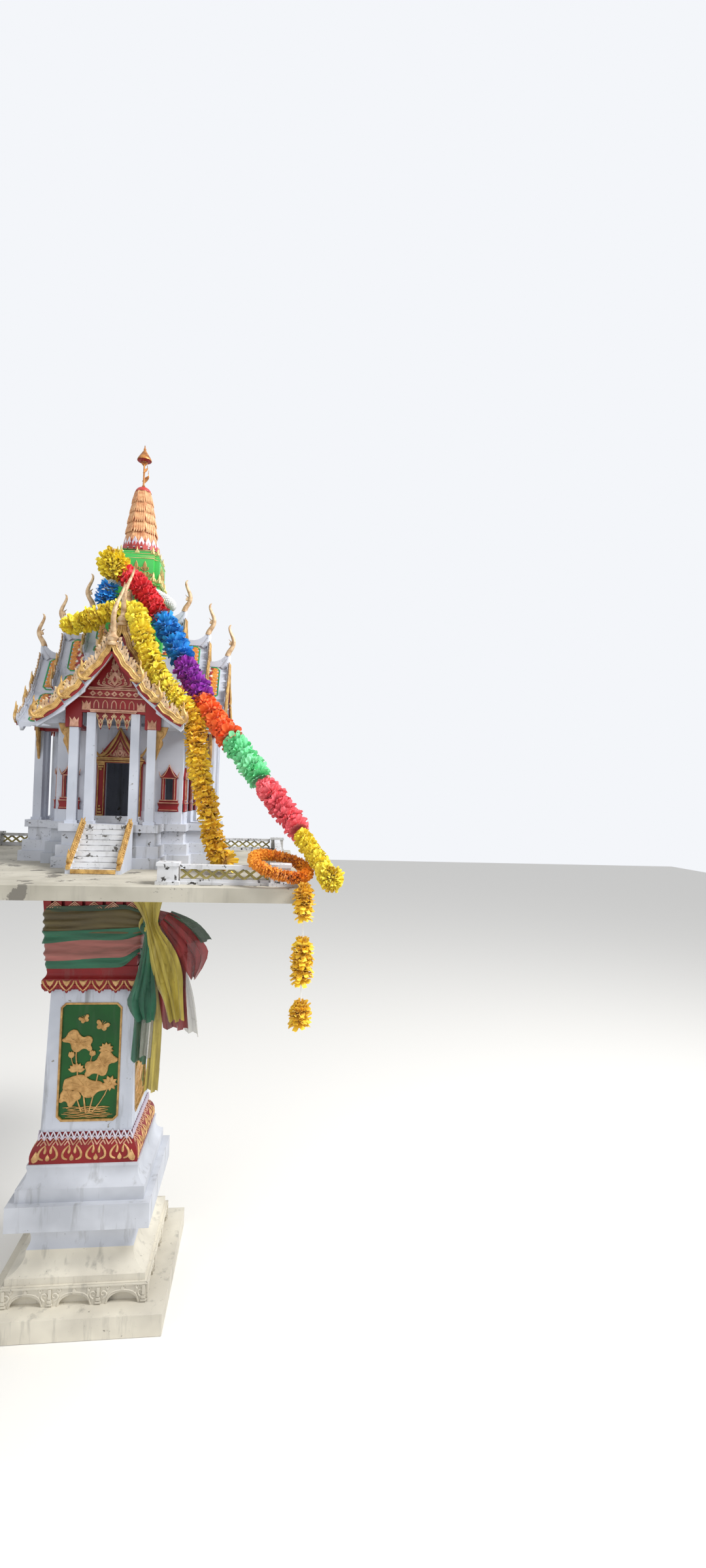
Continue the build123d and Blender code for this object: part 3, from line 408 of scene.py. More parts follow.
# %% Painted cement
def painted_cement(name, paint, shade, cement="#8d8a82", flaking=0.62, flake_size=26,
                   mildew=0.66, streaks=0.5, roughness=0.62):
    """Brushed paint over cast cement: uneven tone, rain streaks, mildew and flakes."""
    material, tree, shader, place = blank(name)
    colour, _ = layered(tree, place, paint, (shade, 90, 3, 0.35, 0.65),
                        ("#6f6d68", 16, 5, 0.56, 0.74, streaks, 0.6, (1, 1, 0.12)))
    specks = patches(tree, place, 4.5, 6, mildew, mildew + 0.05, 0.75, 0.7)
    damp = patches(tree, place, 70, 3, 0.45, 0.6)
    mould = node(tree, "Math", {0: specks, 1: damp}, operation="MULTIPLY")
    colour = node(tree, "Mix", {SHARE: mould, UNDER: colour, OVER: "#2b2a28"}, MIXED, data_type="RGBA")
    colour, flakes = layered(tree, place, colour, (cement, flake_size, 9, flaking, flaking + 0.015, 1.0, 0.62))
    brush = patches(tree, place, 2.2, 3, amount=0.35)
    height = node(tree, "Math", {0: brush, 1: flakes}, operation="SUBTRACT")
    relief = node(tree, "Bump", {"Height": height, "Strength": 0.55, "Distance": 0.6 * MM})
    fill(tree, shader, {"Base Color": colour, "Roughness": roughness, "Specular IOR Level": 0.35,
                        "Normal": relief})
    return material


# White emulsion over cast cement: chalky, hardly any gloss
shrine_white = painted_cement("emulsion_on_cement", "#ced2dc", "#b9bec9", flaking=0.68, mildew=0.63,
                              streaks=0.62)
stair_white = painted_cement("worn_emulsion_on_steps", "#dfe0e3", "#c4c5c6", cement="#5b5853",
                             flaking=0.61, flake_size=14, mildew=0.6)
rail_white = painted_cement("mildewed_emulsion_on_rails", "#d6d7da", "#b5b4b1", cement="#3f3d3a",
                            flaking=0.6, flake_size=9, mildew=0.53)
platform_white = painted_cement("mildewed_emulsion_on_platform", "#cdd0d8", "#b0b4bc", cement="#5f5c57",
                                flaking=0.66, flake_size=16, mildew=0.58, streaks=0.75)
grime = painted_cement("black_grime", "#3a3835", "#2a2826", cement="#55524d", flaking=0.6, mildew=0.6)
# The slab is the most weathered: old cream paint with grey cement showing
slab_cement = painted_cement("weathered_slab_cement", "#bdb8aa", "#a39e90", cement="#77736a",
                             flaking=0.6, flake_size=40, mildew=0.61, streaks=0.35, roughness=0.8)
plinth_cream = painted_cement("cream_emulsion_on_cement", "#dcd6c6", "#c2bcae", cement="#8a857b",
                              flaking=0.7, mildew=0.64)
plinth_grey = painted_cement("grey_emulsion_on_cement", "#c9ccd3", "#b0b3ba", flaking=0.72)
red_enamel = painted_cement("red_enamel_on_cement", "#8d1418", "#721014", cement="#5d2a26",
                            flaking=0.74, mildew=0.7, streaks=0.22, roughness=0.42)
tower_green = painted_cement("light_green_enamel", "#4fc25f", "#3da64e", cement="#9db48f",
                             flaking=0.72, mildew=0.7, streaks=0.2, roughness=0.4)
panel_green = painted_cement("panel_green_enamel", "#0a5c1e", "#084a18", cement="#3c4a33",
                             flaking=0.8, mildew=0.75, streaks=0.12, roughness=0.35)

# %% [markdown]
# The ornament is gold bronze paint: metal flakes in varnish, brushed by hand, with brown
# dirt in its hollows. It is only part metallic, because the varnish dulls it. The roof
# scales are enamel with a low gloss, and each has its own tint.

# %% Gilt paint and glazed tiles
def gilt_paint(name, light, dark, metallic, roughness=0.42):
    """Gold bronze paint brushed over cement: metal flakes in varnish, dull in the hollows."""
    material, tree, shader, place = blank(name)
    colour, _ = layered(tree, place, light, (dark, 9, 5, 0.36, 0.64, 1.0, 0.6),
                        ("#5a3c22", 5, 6, 0.6, 0.7, 0.7, 0.7))
    relief = node(tree, "Bump", {"Height": patches(tree, place, 2.5, 4), "Strength": 0.5, "Distance": 0.5 * MM})
    fill(tree, shader, {"Base Color": colour, "Metallic": metallic, "Roughness": roughness, "Normal": relief})
    return material


gilt = gilt_paint("gold_bronze_paint", "#d9b26c", "#a07a42", 0.3)
gilt_pale = gilt_paint("pale_gold_on_plaster", "#dcc09a", "#a8845e", 0.12, 0.5)
gilt_dull = gilt_paint("aged_gold_bronze_paint", "#c39a5c", "#96703c", 0.15, 0.55)
gilt_pink = gilt_paint("faded_gold_on_red", "#cfa08a", "#a97a5c", 0.1, 0.6)
brass = gilt_paint("lacquered_brass", "#e8c987", "#b98f45", 0.85, 0.3)
gilt_warm = gilt_paint("warm_gold_bronze_paint", "#d4ab74", "#a87d4c", 0.15, 0.5)
lattice_yellow = gilt_paint("dull_yellow_paint", "#b3a45e", "#857a44", 0.0, 0.7)
gilt_panel = gilt_paint("brown_gold_bronze_paint", "#cfa264", "#a67c42", 0.15, 0.55)
tower_cream = gilt_paint("cream_gold_paint", "#d8c48a", "#a8a45c", 0.1, 0.5)
spire_buff = gilt_paint("buff_gold_paint", "#dcae7e", "#c08258", 0.08, 0.6)
umbrella_gilt = gilt_paint("worn_gold_leaf", "#c98a4a", "#8a5228", 0.4, 0.45)


def glazed_tile(name, light, dark):
    """Enamel on small cast tiles: a low gloss, and each tile a little off in colour."""
    material, tree, shader, place = blank(name)
    tint = node(tree, "Attribute", {}, "Fac", attribute_name="tint")
    colour = node(tree, "Mix", {SHARE: tint, UNDER: light, OVER: dark}, MIXED, data_type="RGBA")
    colour, _ = layered(tree, place, colour, ("#4b4a42", 5, 5, 0.56, 0.7, 0.5, 0.65))
    relief = node(tree, "Bump", {"Height": patches(tree, place, 3, 3), "Strength": 0.3, "Distance": 0.3 * MM})
    fill(tree, shader, {"Base Color": colour, "Roughness": 0.38, "Normal": relief})
    return material


tile_green = glazed_tile("green_glazed_tile", "#1fa055", "#12773c")
tile_orange = glazed_tile("orange_glazed_tile", "#e09a45", "#c57a2c")
tile_red = glazed_tile("red_glazed_tile", "#b23a34", "#8d2622")
tile_white = glazed_tile("white_glazed_tile", "#e6dfd6", "#c9bdb2")
petal_white = glazed_tile("white_petal_enamel", "#dcdbe4", "#b9aebb")

# %% [markdown]
# The garlands are nylon organza, crimped into petals. Organza is thin, so the shade in its hollows is painted
# in a deeper colour, not black: an attribute says how deep a point lies.
# The sashes are nylon too, with a satin sheen, and a little of what is behind shows. Darker streaks along each
# sash are painted shade of soft folds.

# %% Cloth
def tissue(name, light, dark, deep):
    """Crimped organza, with painted shade in the hollows of its flowers. Its weave is finer than a pixel, so it
    is drawn as creases 1.2 mm apart.
    """
    material, tree, shader, place = blank(name)
    tint = node(tree, "Attribute", {}, "Fac", attribute_name="tint")
    colour = node(tree, "Mix", {SHARE: tint, UNDER: light, OVER: dark}, MIXED, data_type="RGBA")
    # painted shade: the deep colour is laid where a point lies deep in its flower, near the string
    painted_hollow_shade = node(tree, "Attribute", {}, "Fac", attribute_name="depth")
    painted_hollow_shade = node(tree, "MapRange", {"Value": painted_hollow_shade, "From Min": 0.25, "From Max": 0.85})
    colour = node(tree, "Mix", {SHARE: painted_hollow_shade, UNDER: colour, OVER: deep}, MIXED, data_type="RGBA")
    creases = patches(tree, place, 1.2, 4, roughness=0.7)
    relief = node(tree, "Bump", {"Height": creases, "Strength": 0.5, "Distance": 0.8 * MM})
    fill(tree, shader, {"Base Color": colour, "Roughness": 0.6, "Sheen Weight": 0.25, "Normal": relief})
    return material


# light and dark tone of each organza, which vary at random, and its painted shade for the hollows
bloom_colours = {
    "yellow": ("#fff24e", "#f3da2c", "#c79a14"),
    "golden": ("#ffdf3c", "#f2c022", "#c89014"),
    "red": ("#f4323c", "#dc1c2c", "#961020"),
    "blue": ("#189ae8", "#0a7ccc", "#075494"),
    "purple": ("#a82cba", "#8c1aa2", "#561068"),
    "orange": ("#ff7e34", "#f8601e", "#c03e0e"),
    "mint": ("#9cf4ba", "#74e09c", "#42ac6c"),
    "salmon": ("#ff7c84", "#f0606c", "#c03c4a"),
    "marigold": ("#fbae2c", "#ee9016", "#b8640a"),
}
bloom_cloth = {colour: tissue(f"{colour}_organza", *codes) for colour, codes in bloom_colours.items()}
# the third colour is painted shade for hollows, as for the flowers
cotton_white = tissue("white_cotton_blossom", "#eef0ee", "#d6d8d4", "#9a9c96")


UPRIGHT, AROUND = (1, 1, 0.15), (0.12, 0.12, 1)


def sheer_cloth(name, light, dark, clear_share, stretch=UPRIGHT):
    """Sheer nylon sash whose darker streaks, long in the direction that the cloth is pulled, are painted shade
    of soft folds.
    """
    material, tree, shader, place = blank(name)
    # the dark colour is laid in long streaks as painted fold shade
    colour, _ = layered(tree, place, light, (dark, 12, 4, 0.35, 0.65, 1.0, 0.6, stretch))
    creases = patches(tree, place, 1.6, 4, roughness=0.7, stretch=stretch)
    relief = node(tree, "Bump", {"Height": creases, "Strength": 0.4, "Distance": 0.6 * MM})
    fill(tree, shader, {"Base Color": colour, "Roughness": 0.5, "Sheen Weight": 0.3, "Alpha": 1 - clear_share,
                        "Normal": relief})
    return material


# each sash: its colour, its painted fold shade, and how much of what is behind shows
sash_green = sheer_cloth("green_nylon_sash", "#16694a", "#0b4530", 0.05)
sash_yellow = sheer_cloth("yellow_nylon_sash", "#c2b049", "#94822c", 0.04)
sash_red = sheer_cloth("red_nylon_sash", "#8e1a1c", "#5f1012", 0.04)
sash_grey = sheer_cloth("grey_nylon_sash", "#a9a79c", "#85837a", 0.35)
sash_pink = sheer_cloth("faded_pink_nylon_sash", "#a8625a", "#7c4a40", 0.06, AROUND)
sash_olive = sheer_cloth("olive_nylon_sash", "#5f5226", "#463a1a", 0.06, AROUND)
sash_dark = sheer_cloth("dark_green_nylon_sash", "#2c4a2e", "#1c3322", 0.05, AROUND)
wound_green = sheer_cloth("green_nylon_sash_wound", "#16694a", "#0d4c34", 0.05, AROUND)

# %% [markdown]
# ## The CAD parts that stay
#
# Walls, columns, steps, slab and mouldings already have their true shape in the frame.
# They only need their finish. A CAD node keeps its mesh: the material goes into its slots.

# %% Dress the frame
plain_finish = {
    "plinth_base": plinth_cream, "plinth_cap": plinth_grey, "pillar_step": plinth_grey,
    "lotus_foot": red_enamel, "pillar_shaft": shrine_white, "panel_frames": gilt_dull,
    "capital_fringe": red_enamel, "capital_flare": red_enamel, "table_slab": slab_cement,
    "balustrade_posts": rail_white, "balustrade_rails": rail_white, "balustrade_lattice": lattice_yellow,
    "house_platform": platform_white, "stair_flight": stair_white, "stair_cheek_left": shrine_white,
    "stair_cheek_right": shrine_white, "naga_rail_left": gilt, "naga_rail_right": gilt,
    "front_wall": shrine_white, "right_wall": shrine_white, "back_wall": shrine_white,
    "left_wall": shrine_white, "room_floor": shrine_white, "room_ceiling": shrine_white,
    "door_surround": red_enamel, "door_step": stair_white, "window_surrounds": red_enamel,
    "front_porch_columns": shrine_white, "side_porch_columns": shrine_white,
    "back_porch_columns": shrine_white, "outer_roof": shrine_white, "middle_roof": shrine_white,
    "inner_roof": shrine_white, "front_gable_wall": red_enamel, "side_gable_walls": red_enamel,
    "back_gable_wall": red_enamel, "front_bargeboards": gilt, "side_bargeboards": gilt,
    "back_bargeboards": gilt, "ridge_crests": shrine_white, "roof_horns": gilt,
    "eave_brackets": gilt_dull, "tower_foot": tower_green, "tower_tiers": tower_green,
    "lotus_band": red_enamel, "spire_tiers": tile_red, "spire_pole": brass,
    "long_garland": bloom_cloth["red"], "short_garland": bloom_cloth["yellow"],
    "marigold_ring": bloom_cloth["marigold"], "hanging_blooms": bloom_cloth["golden"],
    "rope_ring": cotton_white, "sash_wrap": sash_green, "sash_tails": sash_yellow,
}
for name, material in plain_finish.items():
    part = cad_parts[name]
    part.data.materials.clear()
    part.data.materials.append(material)
print(len(plain_finish), "CAD parts painted")

# %% [markdown]
# ## Garlands of cloth flowers
#
# The two long garlands are strings of nylon organza flowers. Each flower is a few rings
# of petals, gathered on the string. One ring is a circle extruded outwards and then
# shaped: the rim is notched between petals, each petal has its own lift, and its edge
# is crimped. Flowers are modelled in a few versions and threaded along the string.

# %% One ring of ruffled petals
def petal_ring(radius, rise, petals, seed, spokes=7, ruffle=0.075, notch=0.34, bands=(4.0, 1.75, 1.25, 1.143)):
    """Ring of petals about the string: radius and rise of its rim in mm."""
    clear()
    bpy.ops.mesh.primitive_circle_add(vertices=petals * spokes, radius=radius * MM, fill_type="NOTHING")
    piece = bpy.context.object
    bpy.ops.transform.resize(value=(0.1, 0.1, 1))
    bpy.ops.object.transform_apply(location=False, rotation=False, scale=True)
    bpy.ops.object.mode_set(mode="EDIT")
    bpy.ops.mesh.select_all(action="SELECT")
    for grow in bands:
        bpy.ops.mesh.extrude_region_move()
        bpy.ops.transform.resize(value=(grow, grow, 1))
    bpy.ops.object.mode_set(mode="OBJECT")
    draw = random.Random(seed)
    lifts = [draw.uniform(-0.26, 0.26) for _ in range(petals)]
    sizes = [draw.uniform(0.82, 1.05) for _ in range(petals)]
    phases = [draw.uniform(0, 6.3) for _ in range(petals)]
    turns = [draw.uniform(1.3, 2.6) for _ in range(petals)]
    for corner in piece.data.vertices:
        x, y, _ = corner.co
        share = hypot(x, y) / (radius * MM)
        turn = (atan2(y, x) / (2 * pi)) % 1.0 * petals
        petal = int(turn) % petals
        inside = turn - int(turn)
        edge = abs(2 * inside - 1)
        blend = min((1 - edge) * 2.2, 1)
        wave = sin(2 * pi * turns[petal] * inside + phases[petal]) * ruffle * (0.4 + edge)
        lift = rise * share ** 1.6 + radius * share ** 2 * (lifts[petal] * blend + wave + 0.12 * edge ** 3)
        reach = 1 + share * ((sizes[petal] - 1) * blend - notch * edge ** 5)
        corner.co = (x * reach, y * reach, lift * MM)
    return piece


def flower(radius, seed, rings, petals=9, spokes=7, bands=(4.0, 1.75, 1.25, 1.143)):
    """Rings of petals stacked on a string: (size, rise, height) of each, as shares of the radius."""
    made = []
    for place, (size, rise, height) in enumerate(rings):
        ring = petal_ring(radius * size, radius * rise, petals, seed * 7 + place, spokes, bands=bands)
        ring.data.transform(shift(0, 0, radius * height)
                            @ about("Z", 2.4 * place))
        made.append(ring)
    return joined(made, f"flower_{seed}")


def string_points(route):
    """Even points along a string that is hung through a route in mm."""
    line = rod(route, 0.0, fine=3)
    points = [corner.co.copy() for corner in line.data.vertices]
    discard(line)
    return points


def threaded(route, spacing, reach_from, reach_to, seed, lean=0.16):
    """Places along a string, one every spacing, between two lengths along it in mm."""
    points = string_points(route)
    draw = random.Random(seed)
    places, run, wanted = [], 0.0, reach_from
    for start, end in zip(points, points[1:]):
        step = (end - start).length / MM
        while step > 0 and run + step >= wanted and wanted <= reach_to:
            centre = start.lerp(end, (wanted - run) / step)
            along = (start - end).normalized() + Vector([draw.uniform(-lean, lean) for _ in range(3)])
            face = along.to_track_quat("Z", "Y").to_matrix().to_4x4()
            places.append(Matrix.Translation(centre) @ face @ about("Z", draw.uniform(0, 6.3))
                          @ Matrix.Scale(draw.uniform(0.92, 1.06), 4))
            wanted += spacing
        run += step
    return places


def mark_depth(piece, radius, places):
    """Note how deep each point of a flower lies: 0 at the rim and 1 at the string. The cloth uses it to paint
    shade in the hollows.
    """
    count = len(piece.data.vertices) // max(len(places), 1)
    depth = []
    for number, corner in enumerate(piece.data.vertices):
        inside = places[min(number // count, len(places) - 1)].inverted() @ corner.co
        depth.append(1 - min(hypot(inside.x, inside.y) / (radius * MM), 1))
    marks = piece.data.attributes.new("depth", "FLOAT", "POINT")
    marks.data.foreach_set("value", depth)


print("flowers are ready to thread")

# %% [markdown]
# Cloth flowers are squashed where they lie on a roof. A simulation would take minutes, so
# each point that sinks into the cement is moved out along the nearest surface's normal.

# %% Soft things give way where they lean on hard ones
from mathutils.bvhtree import BVHTree


def press_out(piece, names, gap=1.0):
    """Move points that lie inside the named CAD parts out to their surface."""
    for name in names:
        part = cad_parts[name]
        solid = bmesh.new()
        solid.from_mesh(part.data)
        solid.transform(part.matrix_world)
        tree = BVHTree.FromBMesh(solid)
        low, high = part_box(name)
        for corner in piece.data.vertices:
            spot = corner.co
            if any(spot[axis] < low[axis] - 0.002 or spot[axis] > high[axis] + 0.002 for axis in range(3)):
                continue
            surface, normal, _, distance = tree.find_nearest(spot, 0.06)
            if surface is None:
                continue
            height = (spot - surface).dot(normal)
            if height < gap * MM and distance < 0.018:
                corner.co = surface + normal * gap * MM
        solid.free()


HARD_FRONT = ["outer_roof", "middle_roof", "inner_roof", "ridge_crests", "tower_foot", "tower_tiers",
              "front_gable_wall", "table_slab"]


def hang_flowers(name, blooms, radius, places, seed, colour, node_name, hard=HARD_FRONT):
    """Copy flowers to their places, note how deep their points lie, and press them off hard parts."""
    part = copies(blooms, places, name, seed)
    mark_depth(part, radius, places)
    discard(*blooms)
    press_out(part, hard)
    finish(smooth(part, 60), bloom_cloth[colour], "flower_cloth", node_name)

# %% [markdown]
# The long garland is tied at the front of the ridge and falls over the porch roof to the
# slab's corner. Its cloth changes colour eight times. Each stretch is a piece by itself,
# with flowers of its own size.

# %% The long garland, colour by colour
long_route = [(-33, -37, 2326), (-4, -44, 2437), (82, -50, 2383), (142, -80, 2298), (222, -102, 2168),
              (277, -143, 2053), (343, -200, 1946), (406, -255, 1862), (466, -310, 1792),
              (515, -362, 1726), (560, -420, 1666), (612, -480, 1606), (662, -545, 1535),
              (701, -602, 1476), (722, -655, 1449)]
# colour, where it begins and ends along the string, and the radius of its flowers
long_colours = (("blue", 6, 60, 36), ("red", 140, 345, 42), ("blue", 372, 520, 46), ("purple", 550, 670, 45),
                ("orange", 702, 868, 45), ("mint", 898, 1070, 41), ("salmon", 1100, 1296, 40),
                ("yellow", 1322, 1462, 31))
packed = ((0.9, -0.4, -0.1), (1.02, -0.12, 0.0), (1.04, 0.12, 0.12), (0.94, 0.36, 0.24), (0.74, 0.56, 0.34),
          (0.48, 0.6, 0.44))
for order, (colour, begin, end, radius) in enumerate(long_colours):
    blooms = [flower(radius, 10 + order * 3 + copy, packed) for copy in range(2)]
    places = threaded(long_route, radius * 0.86, begin, end, order, 0.2)
    hang_flowers(f"long_garland_{order}_{colour}", blooms, radius, places, order, colour, "long_garland")

# %% [markdown]
# The short garland is yellow and its flowers are fuller, so their rings rise to a dome.
# It lies over the roof, drops from the eave and ends at the front columns.

# %% The short garland
short_route = [(-130, -60, 2222), (-64, -80, 2240), (10, -98, 2270), (57, -98, 2270), (92, -128, 2268),
               (120, -186, 2200), (142, -188, 2124), (182, -196, 2048), (228, -212, 1990),
               (276, -222, 1941), (310, -228, 1896), (314, -236, 1830), (324, -244, 1755),
               (346, -262, 1672), (372, -285, 1580), (388, -300, 1498.3), (420, -318, 1453.3),
               (480, -335, 1453.3)]
domed = ((0.9, -0.45, -0.1), (1.02, -0.16, 0.02), (1.02, 0.1, 0.14), (0.9, 0.34, 0.28), (0.66, 0.56, 0.4),
         (0.4, 0.6, 0.5))
for order, (colour, begin, end) in enumerate((("yellow", 4, 640), ("golden", 672, 1190))):
    blooms = [flower(40, 40 + order * 3 + copy, domed, 8, 8) for copy in range(3)]
    places = threaded(short_route, 35, begin, end, 20 + order, 0.24)
    hang_flowers(f"short_garland_{colour}", blooms, 40, places, 20 + order, colour, "short_garland")

# %% [markdown]
# A pompon closes each end of the long garland. It has no string through it: rings of
# petals are turned every way about one middle.

# %% Pompons at the ends of the long garland
def pompon(radius, seed):
    """Ball of petal rings turned every way about one middle."""
    draw = random.Random(seed)
    rings = []
    for number in range(15):
        ring = petal_ring(radius * draw.uniform(0.9, 1.05), radius * 0.5, 16, seed + number, 5, 0.04, 0.6,
                          (4.0, 2.0, 1.25))
        lean = Vector((draw.gauss(0, 1), draw.gauss(0, 1), draw.gauss(0, 1))).normalized()
        ring.data.transform(lean.to_track_quat("Z", "Y").to_matrix().to_4x4()
                            @ shift(0, 0, -radius * 0.1))
        rings.append(ring)
    return joined(rings, f"pompon_{seed}")


for name, spot, radius in (("top_pompon", (-2, -60, 2437), 52), ("end_pompon", (720, -650, 1452), 33)):
    hang_flowers(name, [pompon(radius, 70 + radius)], radius, [shift(*spot)], 5, "yellow", "long_garland")

# %% [markdown]
# A ring of marigolds leans on the corner of the balustrade, and a string with clusters of
# flowers hangs from the slab's edge beside it.

# %% The ring of marigolds, and the string that hangs from the slab
tight = ((1.0, -0.1, -0.25), (1.0, 0.15, 0.0), (0.9, 0.4, 0.2), (0.65, 0.6, 0.35))
marigolds = [flower(19, 80 + copy, tight, 9, 4, (5.0, 2.0)) for copy in range(3)]
RING_FLOWERS, RING_RADIUS = 42, 75
ring_turn = shift(589, -589, 1476.9) @ about("Z", radians(-45)) @ about("Y", radians(19))
ring_places = [ring_turn @ about("Z", 2 * pi * number / RING_FLOWERS) @ shift(RING_RADIUS, 0, 0)
               @ about("X", pi / 2) @ about("Z", number * 2.4) for number in range(RING_FLOWERS)]
hang_flowers("marigold_ring_blooms", marigolds, 19, ring_places, 31, "marigold", "marigold_ring",
             ["balustrade_rails", "balustrade_posts", "table_slab"])

big = [flower(33, 90 + copy, domed, 8, 6, (4.0, 2.0, 1.25)) for copy in range(2)]
# the height and the radius of each flower of the clusters
clusters = ((1408, 30), (1385, 30), (1362, 28), (1268, 31), (1245, 33), (1222, 33), (1199, 31), (1104, 31),
            (1090, 33))
hang_x, hang_y = 650, -672
hanging_places = [shift(hang_x, hang_y, height) @ about("Z", height * 2.4) @ Matrix.Scale(size / 33, 4)
                  for height, size in clusters]
hang_flowers("hanging_bloom_clusters", big, 33, hanging_places, 32, "golden", "hanging_blooms", ["table_slab"])
string = rod([(hang_x, hang_y, height) for height in (1424, 1340, 1250, 1160, 1080)], 1.3)
string.name = "flower_string"
finish(string, cotton_white, "flower_cloth", "hanging_blooms")

# %% [markdown]
# The white ring round the tower is a rope of cotton buds. It is one bud, copied in
# spiral rows round a ring, as the buds are sewn on the real one.

# %% The ring of white buds
clear()
bpy.ops.mesh.primitive_ico_sphere_add(subdivisions=1, radius=4.8 * MM)
bud = bpy.context.object
bud.data.transform(Matrix.Diagonal((0.75, 0.75, 1.25, 1)))
bud_turn = shift(54, 112, 2387) @ about("Y", radians(14))
BUD_RINGS, BUDS_ROUND = 112, 13
bud_places = []
for ring_step in range(BUD_RINGS):
    for row in range(BUDS_ROUND):
        around = 2 * pi * (row + 0.5 * (ring_step % 2)) / BUDS_ROUND
        bud_places.append(bud_turn @ about("Z", 2 * pi * ring_step / BUD_RINGS) @ shift(118, 0, 0)
                          @ about("Y", around) @ shift(0, 0, 12.5))
buds = copies(bud, bud_places, "white_bud_rope", 33)
discard(bud)
marks = buds.data.attributes.new("depth", "FLOAT", "POINT")
press_out(buds, ["tower_tiers", "tower_foot"])
finish(smooth(buds, 80), cotton_white, "white_beads", "rope_ring")

# %% [markdown]
# ## Roof tiles
#
# The roofs are cast cement with small scale tiles in enamel colours. Each slope has a
# field of red and white scales, two rows of orange ones at its open end, and a thin green
# line round them. The roof lines below repeat the CAD's, as (distance from the ridge,
# height above the floor). One scale is modelled and laid thousands of times.

# %% Roof lines and slopes
FLOOR = 1561
outer_line = [(0, 581), (86.6, 445), (86.6, 437), (144.3, 385), (144.3, 377), (222, 322)]
front_line = [(0, 562)] + outer_line[1:]
middle_line = [(0, 656), (67.2, 518), (67.2, 510), (112, 457.3)]
inner_line = [(0, 737), (50.4, 632), (50.4, 624), (84, 585.8)]
ROOF_TIERS = {"outer": (outer_line, 336), "middle": (middle_line, 262), "inner": (inner_line, 173)}
BOARD = 12
arm_turns = {side: HOME @ about("Z", turn) for side, turn in TURNS.items()}


def tiers_of(side):
    """The three roof tiers of one arm as (name, line, reach)."""
    for name, (line, reach) in ROOF_TIERS.items():
        if side == "front" and name == "outer":
            yield name, front_line, 395
        else:
            yield name, line, reach


def slopes_of(line):
    """The sloping stretches of a roof line, without its small steps."""
    return [(start, end) for start, end in zip(line, line[1:]) if end[0] - start[0] > 12]


def on_slope(side, hand, start, end, reach, down, lift=0.0):
    """Place of a tile: reach along the arm, down along the slope, lift above it, all in mm."""
    run = hypot(end[0] - start[0], end[1] - start[1])
    cosine, sine = (end[0] - start[0]) / run, (start[1] - end[1]) / run
    away = start[0] + cosine * down + sine * lift
    height = FLOOR + start[1] - sine * down + cosine * lift
    axes = Matrix(((0, -hand * cosine, hand * sine, hand * away * MM),
                   (hand, 0, 0, -reach * MM),
                   (0, sine, cosine, height * MM), (0, 0, 0, 1)))
    return arm_turns[side] @ axes


# A higher roof or the tower covers each tier this far from the ridge and along the arm
COVERED = {"outer": (115, 266), "middle": (87, 177), "inner": (inf, 104)}


def hidden(name, away, reach):
    """True where a higher roof or the tower stands on this spot."""
    wide, deep = COVERED[name]
    return away < wide and reach < deep


print("roof lines set")

# %% [markdown]
# A scale is an eight-sided disc with one end drawn out, 1.5 mm thick and tipped by five
# degrees, so that its lower edge throws a shadow. Rows are laid in half steps, like bricks.

# %% One scale tile, and the fields
clear()
bpy.ops.mesh.primitive_circle_add(vertices=8, radius=5.4 * MM, fill_type="NGON")
scale_tile = bpy.context.object
for corner in scale_tile.data.vertices:
    if corner.co.y > 0:
        corner.co.y *= 1.25
        corner.co.x = copysign(4.9 * MM, corner.co.x) if abs(corner.co.x) > 1e-4 else 0
bpy.ops.object.mode_set(mode="EDIT")
bpy.ops.mesh.select_all(action="SELECT")
bpy.ops.mesh.extrude_region_move(TRANSFORM_OT_translate={"value": (0, 0, 1.5 * MM)})
outwards(scale_tile).data.transform(about("X", radians(-5)))

clear()
bpy.ops.mesh.primitive_cube_add(size=1)
bar = bpy.context.object
only(bar)
bpy.ops.object.mode_set(mode="EDIT")
bpy.ops.mesh.bevel(offset=0.12, segments=1, affect="EDGES")
bpy.ops.object.mode_set(mode="OBJECT")


def bar_between(place, start, end, width, height):
    """Stretch the unit bar between two points (u, v) of a surface placed by place."""
    along = Vector((end[0] - start[0], end[1] - start[1], 0))
    middle = Vector(((start[0] + end[0]) / 2, (start[1] + end[1]) / 2, height / 2)) * MM
    turn = about("Z", atan2(along.y, along.x))
    size = Matrix.Diagonal(((along.length + width * 0.8) * MM, width * MM, height * MM, 1))
    return place @ Matrix.Translation(middle) @ turn @ size


BORDER, TILE_WIDE, TILE_ROW = 25, 9.6, 8.6
FIELD_GAP = {"outer": 4, "middle": 4, "inner": 2}
fields = {"orange": [], "red": [], "white": []}
green_bars = []
for side in TURNS:
    for name, line, reach in tiers_of(side):
        for start, end in slopes_of(line):
            length = hypot(end[0] - start[0], end[1] - start[1])
            cosine = (end[0] - start[0]) / length
            top = 14 if start[0] == 0 else 5
            far = reach - BOARD - BORDER
            for hand in (1, -1):
                for row in range(int((length - top - 10) / TILE_ROW)):
                    down = top + 6 + row * TILE_ROW
                    away = start[0] + cosine * down
                    column = 0
                    at = far - 8
                    while at > away + 10:
                        spot = at - (TILE_WIDE / 2 if row % 2 else 0)
                        if spot > away + 8 and not hidden(name, away, spot):
                            colour = "orange" if column < 2 else "white" if (row + column) % 3 == 0 else "red"
                            fields[colour].append(on_slope(side, hand, start, end, spot, down, 0.4))
                        at -= TILE_WIDE
                        column += 1
                # the green line round the field, with its corners cut
                surface = on_slope(side, hand, start, end, 0, 0)
                low, high = length - 6, top - 1
                inner_low = start[0] + cosine * low + 6
                inner_high = start[0] + cosine * high + 6
                if start[0] == 0:
                    inner_low = inner_high = COVERED[name][1] + FIELD_GAP[name]
                cut = 12
                corners = [(inner_high, high), (far - cut, high), (far, high + cut), (far, low - cut),
                           (far - cut, low), (inner_low, low)]
                for begin, finish_at in zip(corners, corners[1:]):
                    if dist(begin, finish_at) > 3:
                        green_bars.append(bar_between(surface, (-hand * begin[0], -begin[1]),
                                                      (-hand * finish_at[0], -finish_at[1]), 4.2, 2.2))
